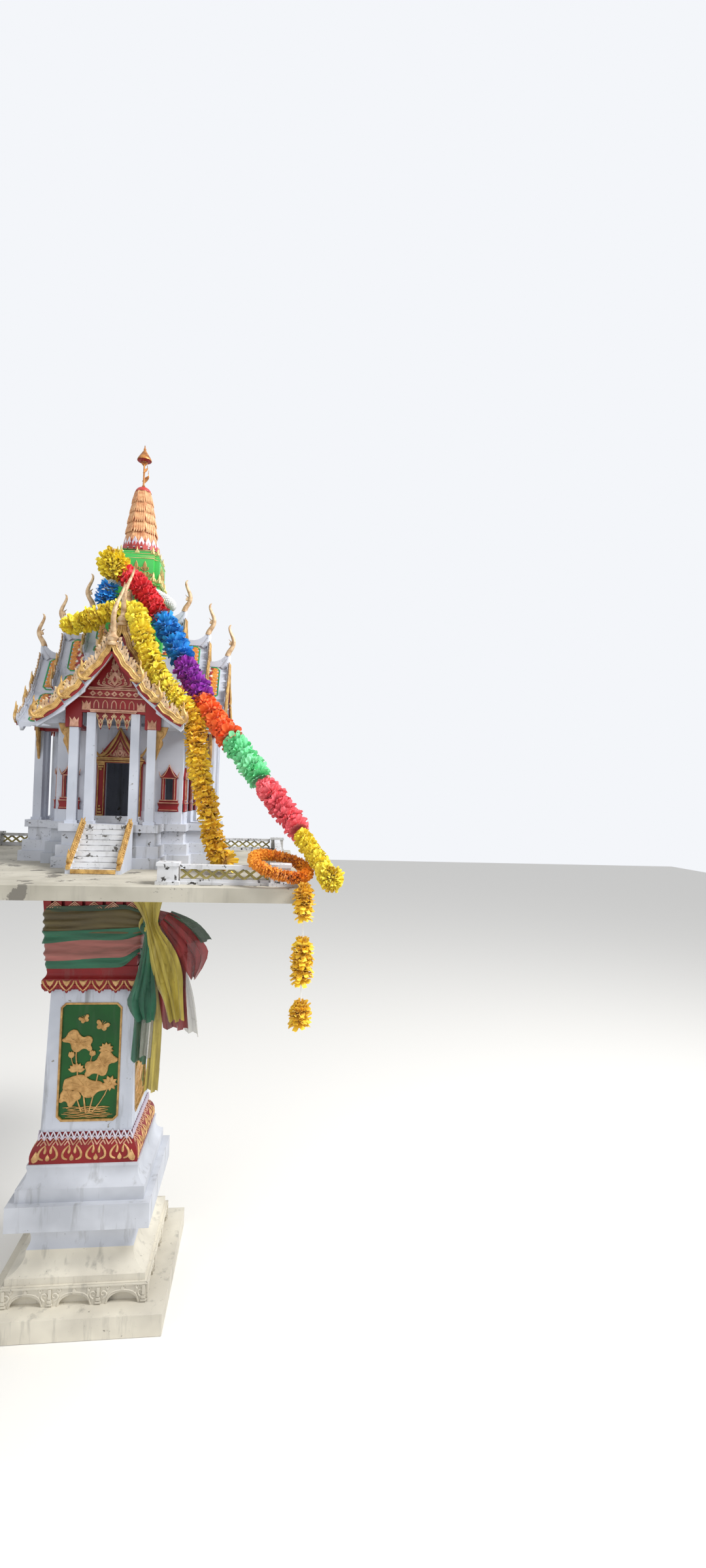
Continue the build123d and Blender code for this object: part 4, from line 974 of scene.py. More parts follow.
for colour, places in fields.items():
    material = {"orange": tile_orange, "red": tile_red, "white": tile_white}[colour]
    finish(copies(scale_tile, places, f"roof_tiles_{colour}", len(places)), material, "roof_paint")
finish(copies(bar, green_bars, "roof_green_lines", 3), tile_green, "roof_paint")
discard(scale_tile, bar)

# %% [markdown]
# ## Bargeboards, flames and horns
#
# A gilt band edges the open end of every roof. Leaf-shaped flames stand along it, a
# bigger flame curls up at each break, and a slender horn rises from the peak. Each is
# one flat shape with rounded edges or one tapered rod, copied to its places.

# %% Flames
def leaf_flame(height, lean, thick=5.0, resolution=2):
    """Slim curled flame, its root on the origin and its tip up and to the side of its lean."""
    outline = [(-0.2, -0.14, 1), (0.28, -0.14, 1), (0.32, 0.14), (0.16, 0.4), (0.06, 0.62), (lean * 0.7, 0.86),
               (lean, 1.04, 1), (lean * 0.9 - 0.14, 0.78), (-0.16, 0.5), (-0.28, 0.18)]
    return plate([[(x * height, z * height, *rest) for x, z, *rest in outline]], thick,
                 min(thick * 0.3, height * 0.05), resolution)


def curled_flame(height, thick=4.4):
    """Big flame of the roof's breaks: a slender stem that sweeps out, up and back in."""
    trunk = rod([(-0.5 * height, -0.06 * height), (-0.14 * height, -0.2 * height),
                 (0.16 * height, -0.04 * height),
                 (0.26 * height, 0.24 * height), (0.13 * height, 0.5 * height), (0.08 * height, 0.74 * height),
                 (0.16 * height, 0.96 * height), (0.1 * height, 1.08 * height)], thick,
                [0.7, 1.1, 1.3, 1.2, 1.0, 0.8, 0.5, 0.2])
    parts = [trunk]
    for x, z, size in ((-0.16, 0.02, 0.44), (0.02, 0.32, 0.34), (-0.02, 0.58, 0.26)):
        leaf = leaf_flame(height * size, -0.3, 4.5)
        leaf.data.transform(shift(x * height, 0, z * height))
        parts.append(leaf)
    return joined(parts, "curled_flame")


def edge_place(side, hand, reach, x, z, angle):
    """Place on an arm's end, x to a hand and z up in mm, turned by an angle in its plane."""
    mirror_x = Matrix.Diagonal((hand, 1, 1, 1))
    return (arm_turns[side] @ mirror_x @ shift(x, -reach, FLOOR + z)
            @ about("Y", -angle))


def along_board(start, end, lift, steps=16):
    """Points beside a stretch of the roof line. lift gives their height above it in mm."""
    run = dist(start, end)
    ux, uz = (end[0] - start[0]) / run, (end[1] - start[1]) / run
    return [(start[0] + ux * run * step / steps - uz * lift(step / steps),
             start[1] + uz * run * step / steps + ux * lift(step / steps)) for step in range(steps + 1)]


flame, pale_flame = leaf_flame(27, -0.4, 4.0), leaf_flame(24, -0.4, 4.0, 1)
small_flame, small_pale = leaf_flame(20, -0.4, 4.0), leaf_flame(17, -0.4, 4.0, 1)
big_flame = curled_flame(54)

# %% [markdown]
# Each stretch of a board sags between its ends and waves along its edges. Points beside
# the roof line give its outline, and copies of a flame stand along it, gilt before white.

# %% Bargeboards: gilt in front, white behind
board_groups = {"front_bargeboards": ["front"], "side_bargeboards": ["right", "left"],
                "back_bargeboards": ["back"]}
for node_name, sides in board_groups.items():
    small, pale, large, gold, pale_parts, red_parts = [], [], [], [], [], []
    for side in sides:
        for name, line, reach in tiers_of(side):
            for start, end in slopes_of(line):
                run = dist(start, end)
                slope_angle = atan2(end[1] - start[1], end[0] - start[0])
                sag = (0.07 if start[0] == 0 else 0.05) * run
                waves = max(round(run / 46), 1)
                count = max(int(run / 12.5), 3)

                def lifted(base, wave=0.0):
                    return lambda share: (base - sag * sin(pi * share)
                                          + wave * sin(2 * pi * (waves * share + 0.2)))

                flame_line = along_board(start, end, lifted(7, 1.5), count)
                top, middle, low = (along_board(start, end, lifted(*at))
                                    for at in ((9, 2.2), (-4, 2.2), (-13, 0)))
                thread, back_top = along_board(start, end, lifted(3, 2.2)), along_board(start, end, lifted(8))
                for hand in (1, -1):
                    for number, (x, z) in enumerate(flame_line[1:]):
                        tilt = slope_angle + 0.12 * sin(number * 2.1)
                        small.append(edge_place(side, hand, reach - 2.5, x, z, tilt))
                        pale.append(edge_place(side, hand, reach - 8, x, z, tilt))
                    large.append(edge_place(side, hand, reach - 1, end[0] - 2, end[1] + 9, 0.06))
                    for outline, thick, depth, group in (
                            (top + middle[::-1], 5, 2.5, gold), (middle + low[::-1], 3, 3.5, red_parts),
                            (back_top + low[::-1], 6, 8.6, pale_parts)):
                        shape = plate([[(x, z, 1) for x, z in outline]], thick, 0.9, 2)
                        shape.data.transform(edge_place(side, hand, reach - depth, 0, 0, 0))
                        group.append(shape)
                    for line_points, radius in ((top, 2.6), (middle, 2.2), (thread, 1.3)):
                        rope = rod([(x, -5.2, z) for x, z in line_points], radius, fine=1)
                        rope.data.transform(edge_place(side, hand, reach - 5, 0, 0, 0))
                        gold.append(rope)
                    # the band ends in a small scroll at the break
                    curl_line = [top[-3]] + spiral(end[0] - 5, end[1] + 4, 60, -1.2, 9, 2.5, 8)
                    curl = rod([(x, -5.4, z) for x, z in curl_line], 2.6,
                               [0.8] + [1.2 - 0.08 * step for step in range(8)])
                    curl.data.transform(edge_place(side, hand, reach - 5, 0, 0, 0))
                    gold.append(curl)
    front = node_name == "front_bargeboards"
    flames = copies(flame if front else small_flame, small, f"flames_of_{node_name}", 1)
    gold.append(copies(big_flame, large, "curls", 2))
    finish(smooth(outwards(joined(gold, f"gilt_{node_name}")), 35), gilt, "gold_paint", node_name)
    finish(smooth(outwards(flames), 35), gilt_pale, "gold_paint", node_name)
    pale_parts.append(copies(pale_flame if front else small_pale, pale, "pale_flames", 1))
    finish(smooth(outwards(joined(pale_parts, f"white_backs_of_{node_name}")), 35), shrine_white, "white_paint",
           node_name)
    finish(smooth(outwards(joined(red_parts, f"red_edges_of_{node_name}")), 35), red_enamel, "red_paint",
           node_name)
discard(flame, pale_flame, small_flame, small_pale, big_flame)

# %% [markdown]
# A horn is one rod whose width shrinks along a swaying spine, with a beak half-way up.
# The front ones stand on a turned block and lean, as they do on the real roof.

# %% Horns on the peaks
def horn(height, foot_rise):
    """Slender finial that swells outwards, comes back in and ends in a small hook."""
    spine = [(5, foot_rise - 8), (2, 0.06 * height + foot_rise), (-0.1 * height, 0.22 * height + foot_rise),
             (-0.17 * height, 0.4 * height + foot_rise), (-0.13 * height, 0.58 * height + foot_rise),
             (-0.04 * height, 0.76 * height + foot_rise), (0.02 * height, 0.92 * height + foot_rise),
             (0, 1.03 * height + foot_rise), (-0.05 * height, 1.06 * height + foot_rise)]
    trunk = rod([(0, y, z) for y, z in spine], 6.2, [1.7, 1.5, 1.3, 1.2, 1.05, 0.9, 0.72, 0.5, 0.15], sides=2,
                fine=3)
    beak = leaf_flame(0.18 * height, 0.5, 5)
    beak.data.transform(shift(0, -0.06 * height, 0.36 * height + foot_rise)
                        @ about("Z", pi / 2))
    return joined([trunk, beak], "horn")


def front_horn(height):
    """Front finial: an eight-sided block at its foot, and a stem that leans to the right."""
    piece = horn(height - 22, 22)
    block = turned([(0, -12), (17, -12), (19, -6), (13, 0), (17, 6), (19, 12), (11, 22), (8, 30), (0, 31)],
                   "block", (0, 0, 0), 8)
    piece = joined([piece, block], "front_horn")
    for corner in piece.data.vertices:
        rise = max(corner.co.z / MM, 0)
        corner.co.x += (0.17 * rise - 7 * sin(pi * min(rise / height, 1))) * MM
    return piece


all_horns, tip_places = [], []
for height, side, names in ((176, "front", ("outer", "middle")), (62, "front", ("inner",)),
                            (104, "right", None), (104, "back", None), (104, "left", None)):
    model = front_horn(height) if side == "front" else horn(height, 40)
    spots = []
    for name, line, reach in tiers_of(side):
        if names is None or name in names:
            spots.append(arm_turns[side] @ shift(0, -(reach - 6), FLOOR + line[0][1] + 4))
    if side != "front":
        tip_places += spots
    all_horns.append(copies(model, spots, f"horns_{side}_{height}", height))
    discard(model)
finish(smooth(outwards(joined(all_horns, "gilt_horns")), 50), gilt_pale, "gold_paint", "roof_horns")
tip = rod([(0, 22, -16), (0, 10, -2), (0, 3, 14), (0, 1, 30), (0, 2, 44)], 9, [1.5, 1.5, 1.2, 0.95, 0.7],
          sides=2, fine=3)
tips = copies(tip, tip_places, "white_horn_feet", 3)
discard(tip)
finish(smooth(tips, 60), shrine_white, "white_paint", "roof_horns")

# %% [markdown]
# ## Gables
#
# Inside each gable the wall is red enamel with gilt relief: a row of small pointed
# arches over the beam, a band of lozenges, and a spray of scrolls that fills the
# triangle. Each relief is flat shapes and tapered rods, modelled once for the front and
# copied to the four gables.

# %% Parts of a gable relief
def frame_arch(x, z, width, height):
    """Outline of a small pointed arch, as a rod in mm."""
    half = width / 2
    return rod([(x - half, z), (x - half, z + 0.5 * height), (x - half * 0.8, z + 0.76 * height),
                (x, z + 1.06 * height),
                (x + half * 0.8, z + 0.76 * height), (x + half, z + 0.5 * height), (x + half, z)],
               1.7)


def crown(width, height):
    """Crown-shaped plate that sits where a column meets its beam."""
    half = width / 2
    return plate([[(-half, 0, 1), (half, 0, 1), (half * 0.92, height * 0.45, 1), (half, height * 0.9, 1),
                   (half * 0.5, height * 0.62, 1), (0, height, 1), (-half * 0.5, height * 0.62, 1),
                   (-half, height * 0.9, 1), (-half * 0.92, height * 0.45, 1)]], 4, 1.4, 2)


def drop(width, height):
    """Pendant: a red lozenge-shaped drop, and its pale outline with a scroll on each shoulder."""
    half = width / 2
    edge = [(-half, 0), (-half * 0.8, -0.3 * height), (-half * 0.36, -0.5 * height),
            (-half * 0.42, -0.66 * height),
            (0, -height), (half * 0.42, -0.66 * height), (half * 0.36, -0.5 * height),
            (half * 0.8, -0.3 * height), (half, 0)]
    body = plate([[(x, z, 1) for x, z in edge]], 5, 1.0, 2)
    lines = [rod([(x, -2.6, z) for x, z in edge], 1.7),
             rod([(0, -3, -0.32 * height), (half * 0.26, -3, -0.5 * height), (0, -3, -0.7 * height),
                  (-half * 0.26, -3, -0.5 * height)], 1.5, closed=True)]
    for hand in (1, -1):
        points = spiral(hand * half * 0.62, -0.2 * height, 90, -hand * 1.1, half * 0.34, half * 0.1)
        lines.append(rod([(x, -3, z) for x, z in points], 1.6))
    return body, joined(lines, "pendant_lines")


def scroll_spray(width, height):
    """Spray of scrolls for a triangle: a bud on a stem, with volutes to both sides."""
    parts = []
    for hand in (1, -1):
        for x, z, size, turns in ((0.22, 0.14, 0.13, 1.35), (0.5, 0.1, 0.1, 1.2), (0.76, 0.07, 0.07, 1.0),
                                  (0.17, 0.4, 0.1, 1.2), (0.36, 0.3, 0.075, 1.0), (0.1, 0.62, 0.07, 1.0)):
            points = spiral(hand * x * width / 2, z * height, -90, hand * turns, size * width / 2, 1.2)
            stem = [(0.0 + hand * 2, (z - 0.14) * height)] + points
            parts.append(rod(stem, 2.1, [0.5] + [1.15 - 0.06 * step for step in range(len(points))]))
            leaf = leaf_flame(size * width * 0.62, -0.3)
            leaf.data.transform(shift(hand * (x * width / 2), 0, (z + size * 0.8) * height)
                                @ Matrix.Diagonal((hand, 1, 1, 1)))
            parts.append(leaf)
    bud = plate([[(0, 0.98 * height, 1), (0.07 * width, 0.74 * height), (0.045 * width, 0.6 * height),
                  (0, 0.5 * height, 1), (-0.045 * width, 0.6 * height), (-0.07 * width, 0.74 * height)],
                 [(0, 0.88 * height, 1), (-0.03 * width, 0.74 * height), (0, 0.66 * height, 1),
                  (0.03 * width, 0.74 * height)]], 5, 1.5, 3)
    heart = plate([[(0, 0.02 * height, 1), (0.09 * width, 0.2 * height), (0.06 * width, 0.36 * height),
                    (0, 0.46 * height, 1), (-0.06 * width, 0.36 * height), (-0.09 * width, 0.2 * height)],
                   [(0, 0.1 * height, 1), (-0.05 * width, 0.2 * height), (0, 0.36 * height, 1),
                    (0.05 * width, 0.2 * height)]], 5, 1.5, 3)
    return joined(parts + [bud, heart], "scroll_spray")


def straight(start, end, width, height):
    """Moulding between two points (x, z) of the front plane."""
    piece = plate([[(-0.4, -0.4, 1), (0.4, -0.4, 1), (0.4, 0.4, 1), (-0.4, 0.4, 1)]], 1.0, 0.1, 1)
    length = dist(start, end)
    turn = atan2(end[1] - start[1], end[0] - start[0])
    piece.data.transform(shift((start[0] + end[0]) / 2, -height / 2, (start[1] + end[1]) / 2)
                         @ about("Y", -turn) @ Matrix.Diagonal((length, height, width, 1)))
    return piece

# %% [markdown]
# The relief is put together once, in the gable's own plane, and copied to the four arms.

# %% The whole relief of one gable
gable_parts, pendant_parts, pendant_lines = [], [], []
for index in range(5):
    gable_parts.append(frame_arch((index - 2) * 27, 364, 15, 26))
for z, half, width, height in ((358, 72, 6, 6), (352.5, 70, 3, 8), (398, 106, 3.5, 5), (424, 80, 3.5, 5),
                               (429, 76, 3, 7)):
    gable_parts.append(straight((-half, z), (half, z), width, height))
for index in range(7):
    centre = (index - 3) * 22
    lozenge = plate([[(centre - 9, 411, 1), (centre, 419, 1), (centre + 9, 411, 1), (centre, 403, 1)],
                     [(centre - 4, 411, 1), (centre, 407, 1), (centre + 4, 411, 1), (centre, 415, 1)]],
                    3.4, 0.8, 1)
    gable_parts.append(lozenge)
for x, z, width, height in ((84, 359, 24, 26), (-84, 359, 24, 26), (119, 305, 25, 27), (-119, 305, 25, 27)):
    mark = crown(width, height)
    mark.data.transform(shift(x, -1, z))
    gable_parts.append(mark)
spray = scroll_spray(128, 100)
spray.data.transform(shift(0, -1.2, 436))
gable_parts.append(spray)
for index in range(4):
    for part, group in zip(drop(28, 50), (pendant_parts, pendant_lines)):
        part.data.transform(shift((index - 1.5) * 27, 0, 350))
        group.append(part)
for hand in (1, -1):
    # the carved edge of the gable, just under the bargeboard
    edge_points = [(2, 541), (84, 424), (142, 366), (206, 316)]
    gable_parts.append(rod([(hand * x, -6, z) for x, z in edge_points], 2.6))
relief = joined(gable_parts, "gable_relief")
pendants = joined(pendant_parts, "pendants")
outlines = joined(pendant_lines, "pendant_outlines")

gable_reach = {"front": 336, "right": 300, "back": 300, "left": 300}
places = [arm_turns[side] @ shift(0, -reach, FLOOR) for side, reach in gable_reach.items()]
finish(smooth(copies(relief, places, "gable_reliefs", 6), 40), gilt_pink, "gold_paint")
hang_places = [arm_turns[side] @ shift(0, -(reach - 8), FLOOR)
               for side, reach in gable_reach.items()]
finish(smooth(copies(pendants, hang_places, "gable_pendants", 7), 40), red_enamel, "red_paint")
finish(smooth(copies(outlines, hang_places, "gable_pendant_outlines", 7), 40), gilt_pale, "gold_paint")
discard(relief, pendants, outlines)

# %% [markdown]
# White boards close the gap between each gable and its open end, so no roof looks thin.

# %% White boards under the open ends of the roofs
board_parts = []
for side in TURNS:
    name, line, reach = next(iter(tiers_of(side)))
    gap = reach - BOARD - gable_reach[side]
    for hand in (1, -1):
        lower = [(x, z - 15) for x, z in line]
        outline = [(x, z, 1) for x, z in lower] + [(x - 6, z - 11, 1) for x, z in lower[:0:-1]]
        outline.append((0, lower[0][1] - 14, 1))
        plank = plate([outline], 12, 1.2, 1)
        plank.data.transform(edge_place(side, hand, reach - BOARD - 8, 0, 0, 0))
        board_parts.append(plank)
planks = joined(board_parts, "white_gable_planks")
finish(outwards(planks), shrine_white, "white_paint")

# %% [markdown]
# ## Door and windows
#
# Red frames with a pointed pediment. The door has gilt pilasters, a lintel and a gilt
# pediment band whose ends hook upwards. The windows carry the same in small.

# %% Door ornament
def ogee_band(half, rise, width, height, hook):
    """Band of a pediment: two sagging lines to a peak, their feet hooked outwards."""
    parts = []
    for hand in (1, -1):
        points = [(hand * (half + hook), 0.5 * rise), (hand * (half + hook * 0.6), 0.26 * rise),
                  (hand * half, 0.04 * rise), (hand * half * 0.74, 0.08 * rise),
                  (hand * half * 0.42, 0.42 * rise),
                  (hand * half * 0.12, 0.86 * rise), (0, 1.12 * rise)]
        parts.append(rod([(x, -height / 2, z) for x, z in points], width / 2,
                         [0.3, 0.8, 1.1, 1.1, 1.1, 1.0, 0.5]))
    return parts


door_gilt = []
for hand in (1, -1):
    for x, width in ((68, 3), (49, 2.5)):
        door_gilt.append(straight((hand * x, 10), (hand * x, 200), width, 4))
    for z, width in ((6, 28), (15, 24), (24, 18), (34, 13), (44, 9), (54, 5), (176, 8), (184, 16), (192, 22),
                     (198, 26)):
        door_gilt.append(straight((hand * 60 - width / 2, z), (hand * 60 + width / 2, z), 6, 6))
for z, half in ((202, 76), (209, 80), (214, 74)):
    door_gilt.append(straight((-half, z), (half, z), 4.5, 7 + (z - 202) / 3))
arch = ogee_band(68, 88, 9, 8, 22)
inner_arch = ogee_band(52, 62, 4, 6, 4)
for piece in arch + inner_arch:
    piece.data.transform(shift(0, 0, 216))
small_spray = scroll_spray(78, 46)
small_spray.data.transform(shift(0, -1, 221))
door_ornament = joined(door_gilt + arch + inner_arch, "door_ornament")
door_place = [arm_turns["front"] @ shift(0, -221, FLOOR)]
finish(smooth(copies(door_ornament, door_place, "gilt_door_trim", 8), 40), gilt_dull, "gold_paint")
finish(smooth(copies(small_spray, door_place, "door_tympanum_relief", 9), 40), gilt_pink, "gold_paint")
discard(door_ornament, small_spray)

# %% [markdown]
# Eleven windows carry the same trim, so it is made once, with its mouldings as plates.

# %% Window ornament
window_parts = [straight((-34, 70), (34, 70), 3, 7), straight((-30, 79), (30, 79), 3, 3),
                straight((-30, 46), (30, 46), 2.5, 5)]
window_parts += ogee_band(27, 40, 4, 7, 7)
for piece in window_parts[-2:]:
    piece.data.transform(shift(0, 0, 155))
for hand in (1, -1):
    window_parts.append(straight((hand * 19, 82), (hand * 19, 152), 2.4, 3))
window_parts.append(straight((-22, 153), (22, 153), 3, 4))
window_ornament = joined(window_parts, "window_ornament")
window_base = plate([[(-33, 42, 1), (33, 42, 1), (30, 55, 1), (34, 68, 1), (-34, 68, 1), (-30, 55, 1)]],
                    6, 1.2, 1)
window_spots = {"front": (-160, 160), "right": (-160, 0, 160), "back": (-160, 0, 160), "left": (-160, 0, 160)}
places = [arm_turns[side] @ shift(x, -210, FLOOR)
          for side, offsets in window_spots.items() for x in offsets]
finish(smooth(copies(window_ornament, places, "window_trim", 10), 40), gilt_pink, "gold_paint")
finish(smooth(copies(window_base, places, "window_bases", 10), 40), red_enamel, "red_paint")
discard(window_ornament, window_base)

# %% [markdown]
# ## Tower and spire
#
# The tower is square with a notch in each corner. A gilt line runs along each ledge, and
# small leaf-shaped antefixes stand on its corners. Above it a ring of white petals opens
# round the foot of the spire, whose five tiers are ribbed like a folded paper lantern.

# %% Gilt lines and antefixes of the tower
def notched(half, notch):
    """Floor plan of a square with a notch in each corner, in mm."""
    inner = half - notch
    quarter = [(half, -inner), (half, inner), (inner, inner), (inner, half)]
    plan = []
    for cosine, sine in ((1, 0), (0, 1), (-1, 0), (0, -1)):
        plan += [(x * cosine - y * sine, x * sine + y * cosine) for x, y in quarter]
    return plan


def ledge_line(half, notch, height, thick):
    """Gilt edge that follows the notched plan at a height."""
    courses = [(height - thick / 2, 0), (height - thick / 4, 1.6), (height + thick / 4, 1.6),
               (height + thick / 2, 0)]
    piece = stacked(lambda spread: notched(half + spread, notch), courses, "ledge_line")
    piece.data.transform(HOME)
    return piece


lines = [ledge_line(98, 18, 2346, 6), ledge_line(82.5, 18, 2407, 3.5), ledge_line(82.5, 18, 2414.5, 3.5),
         ledge_line(78, 18, 2355, 4), ledge_line(78, 18, 2426, 3), ledge_line(78, 18, 2498, 5),
         ledge_line(74, 14.4, 2506, 4), ledge_line(74, 14.4, 2515, 4), ledge_line(68, 14.4, 2527, 4)]
finish(smooth(joined(lines, "tower_gilt_lines"), 40), tower_cream, "gold_paint")

antefix = plate([[(-0.5, 0, 1), (0.5, 0, 1), (0.46, 0.42), (0.2, 0.66), (0, 1.35, 1), (-0.2, 0.66),
                  (-0.46, 0.42)],
                 [(0, 0.2, 1), (0.16, 0.42), (0, 0.72, 1), (-0.16, 0.42)]], 0.34, 0.12, 2)
antefix_places = []
for level, half, notch, size in ((2416, 82.5, 18, 17), (2517, 74, 14.4, 13), (2350, 98, 18, 16)):
    for side in TURNS:
        for x, reach in ((0, half), (half - notch - 5, half), (-(half - notch - 5), half),
                         (half - 5, half - notch), (-(half - 5), half - notch)):
            antefix_places.append(moved(x, -(reach - 3), level - 0.5, TURNS[side], size, HOUSE))
antefixes = copies(antefix, antefix_places, "tower_antefixes", 41)
discard(antefix)
finish(smooth(antefixes, 40), tower_cream, "gold_paint")

# %% [markdown]
# Each face of the tower carries sprigs in low relief: three volutes to each hand of a bud.

# %% Leaf reliefs on the tower's sides
sprig_parts = []
for hand in (1, -1):
    for x, z, reach, turns in ((9, 14, 8, 1.1), (20, 10, 6, 1.0), (8, 32, 6, 1.0)):
        points = spiral(hand * x, z, -90, hand * turns, reach, 1.4, 7)
        sprig_parts.append(rod([(hand * 1, z - 10)] + points, 1.9,
                               [0.5] + [1.2 - 0.08 * step for step in range(7)]))
sprig_parts.append(plate([[(0, 56, 1), (5, 42), (3, 30), (0, 22, 1), (-3, 30), (-5, 42)]], 4, 1.3, 2))
sprig_parts.append(plate([[(0, 18, 1), (4, 10), (0, 2, 1), (-4, 10)]], 4, 1.3, 2))
sprig = joined(sprig_parts, "sprig")
sprig_places = []
for side in TURNS:
    for x, reach in ((-30, 78), (30, 78), (0, 78)):
        sprig_places.append(moved(x, -reach, 2429, TURNS[side], 1.0, HOUSE))
    for x in (-60, -20, 20, 60):
        sprig_places.append(moved(x, -98, 2290, TURNS[side], 0.9, HOUSE))
    for x in (-34, 0, 34):
        sprig_places.append(moved(x, -78, 2358, TURNS[side], 0.8, HOUSE))
sprigs = copies(sprig, sprig_places, "tower_leaf_reliefs", 42)
discard(sprig)
finish(smooth(sprigs, 40), gilt_dull, "gold_paint")

# %% [markdown]
# Cast petals open in two rings, red below and white above with a red heart in each.

# %% Petals round the foot of the spire
petal = plate([[(-10, 0, 1), (10, 0, 1), (11.5, 14), (7, 26), (0, 40, 1), (-7, 26), (-11.5, 14)]], 4, 1.6, 3)
heart = plate([[(-4, 4, 1), (4, 4, 1), (4, 12), (0, 22, 1), (-4, 12)]], 2.5, 0.8, 2)
heart.data.transform(shift(0, -2.4, 0))
petal_spots, heart_spots = [], []
for row, (level, half, count, lean, size) in enumerate(((2531, 66, 16, 6, 0.72), (2541, 62.5, 16, 7, 0.95))):
    for number in range(count):
        spot = (HOME @ about("Z", 2 * pi * (number + 0.5 * row) / count)
                @ shift(0, -half, level) @ about("X", radians(-lean))
                @ Matrix.Scale(size, 4))
        (petal_spots if row else heart_spots).append(spot)
white_petals = copies(petal, petal_spots, "spire_foot_petals", 43)
finish(smooth(white_petals, 50), petal_white, "white_paint")
red_petals = copies(petal, heart_spots, "spire_foot_red_petals", 44)
finish(smooth(red_petals, 50), tile_red, "red_paint")
hearts = copies(heart, petal_spots, "petal_hearts", 45)
finish(smooth(hearts, 50), tile_red, "red_paint")
discard(petal, heart)

# %% [markdown]
# A tier of the spire is eight-sided, with five rounded ribs to a side. One rib of unit
# size is stretched to its tier, which is simpler than cutting grooves.

# %% Ribs of the spire
rib = plate([[(-0.5, 0.1), (-0.5, 0.84, 1), (-0.36, 0.95), (0, 1.02), (0.36, 0.95), (0.5, 0.84, 1), (0.5, 0.1),
              (0, -0.07)]],
            0.55, 0.26, 2)
rib_places = []
SPIRE_FOOT, TIER, TAPER, FLARE = 2572, 38, 5.6, 5
stand_off = (-1.5, 1.2, 2.0, 1.0, 0.5)
for tier in range(5):
    foot_half = 57 - tier * TAPER
    top_half = foot_half - TAPER - FLARE
    lean = atan2(foot_half - top_half, TIER)
    width = 2 * foot_half * tan(pi / 8) / 5
    for face in range(8):
        for number in range(5):
            shape = Matrix.Diagonal((width * 0.62, 7.0, TIER * 0.93, 1))
            place = shift((number - 2) * width * 0.94, -(foot_half + stand_off[tier]),
                          SPIRE_FOOT + tier * TIER + 1.5)
            rib_places.append(HOME @ about("Z", pi * face / 4) @ place @ about("X", -lean) @ shape)
ribs = copies(rib, rib_places, "spire_ribs", 46)
discard(rib)
finish(smooth(ribs, 50), spire_buff, "gold_paint")

# %% [markdown]
# The pole is turned metal with an umbrella near its tip, so one profile gives both.

# %% Pole with its umbrella and leaves
profile = [(0, 2783), (5.5, 2783), (6.5, 2787), (3.4, 2792), (3.2, 2836), (4.4, 2838), (3.2, 2840), (3.0, 2878),
           (8, 2882), (22, 2881), (26, 2882), (26, 2885), (23, 2891), (16, 2902), (9, 2913), (4, 2921),
           (5, 2925),
           (2.5, 2929), (1.5, 2938), (0, 2940)]
pole = turned(profile, "spire_pole_and_umbrella", HOUSE, 24)
finish(smooth(pole, 45), umbrella_gilt, "gold_paint", "spire_pole")
leaf_parts = []
for angle, level, size in ((0, 2808, 40), (20, 2846, 24), (0, 2868, 20), (180, 2868, 20)):
    leaf = leaf_flame(size, 0.55)
    leaf.data.transform(Matrix.Diagonal((-0.55, 0.7, 1, 1)))
    leaf.data.transform(HOME @ about("Z", radians(angle))
                        @ shift(4, 0, level) @ about("Y", radians(34)))
    leaf_parts.append(leaf)
leaves = joined(leaf_parts, "spire_pole_leaves")
finish(smooth(outwards(leaves), 40), umbrella_gilt, "gold_paint")
underside = turned([(0, 2881), (3.2, 2880.4), (22, 2879.4), (24.5, 2880.6), (22, 2882.5), (0, 2883)],
                   "umbrella_underside", HOUSE, 24)
finish(smooth(underside, 45), red_enamel, "red_paint", "spire_pole")

# %% [markdown]
# ## The pillar
#
# Each side of the shaft has a sunk green panel with a gilt lotus pond in low relief:
# wavy leaves on stems, open flowers, buds, two butterflies and ripples. The foot is red,
# with pairs of gilt scrolls under a zigzag and a row of pale petal tips.

# %% Lotus pond pieces
def wavy_leaf(x, z, width, height, turn, seed):
    """Big lotus leaf seen from the side: wavy edge, a rolled fold and veins from its stem."""
    draw = random.Random(seed)
    cosine, sine = cos(radians(turn)), sin(radians(turn))

    def spot(across, rise):
        return (x + across * cosine - rise * sine, z + across * sine + rise * cosine)

    outline, phase = [], draw.uniform(0, 6)
    for step in range(18):
        angle = 2 * pi * step / 18
        wave = 1 + 0.1 * sin(5 * angle + phase) + draw.uniform(-0.05, 0.05)
        rise = sin(angle) * height / 2 * wave
        rise += 0.16 * height * cos(2 * pi * cos(angle) * 0.9 + phase)
        outline.append(spot(cos(angle) * width / 2 * wave, rise))
    parts = [plate([outline], 6, 2.6, 3)]
    heart = spot(width * draw.uniform(-0.08, 0.08), -0.05 * height)
    for step in range(0, 18, 2):
        rim = outline[step]
        middle = (heart[0] * 0.45 + rim[0] * 0.55, -3.6, heart[1] * 0.45 + rim[1] * 0.55 + 1.5)
        parts.append(rod([(heart[0], -3.1, heart[1]), middle,
                          (heart[0] * 0.12 + rim[0] * 0.88, -2.8, heart[1] * 0.12 + rim[1] * 0.88)],
                         1.0, [1.2, 0.9, 0.5]))
    parts.append(rod([(a, -1.9, b) for a, b in outline], 1.5, closed=True))
    return parts


def petal_fan(x, z, length, spread, count, width=0.42):
    """Open lotus: pointed petals in a fan, or all round when the spread is full."""
    parts = []
    for number in range(count):
        share = number / (count - (0 if spread == 360 else 1))
        angle = -spread / 2 + spread * share
        shape = plate([[(0, 0, 1), (width * length / 2, 0.5 * length), (0, length, 1),
                        (-width * length / 2, 0.5 * length)]], 3.4, 1.3, 2)
        shape.data.transform(shift(x, -(0.4 + 0.9 * cos(radians(angle))), z)
                             @ about("Y", radians(angle)))
        parts.append(shape)
    return parts


def stem(points, radius=1.9):
    return [rod([(x, -0.8, z) for x, z in points], radius)]


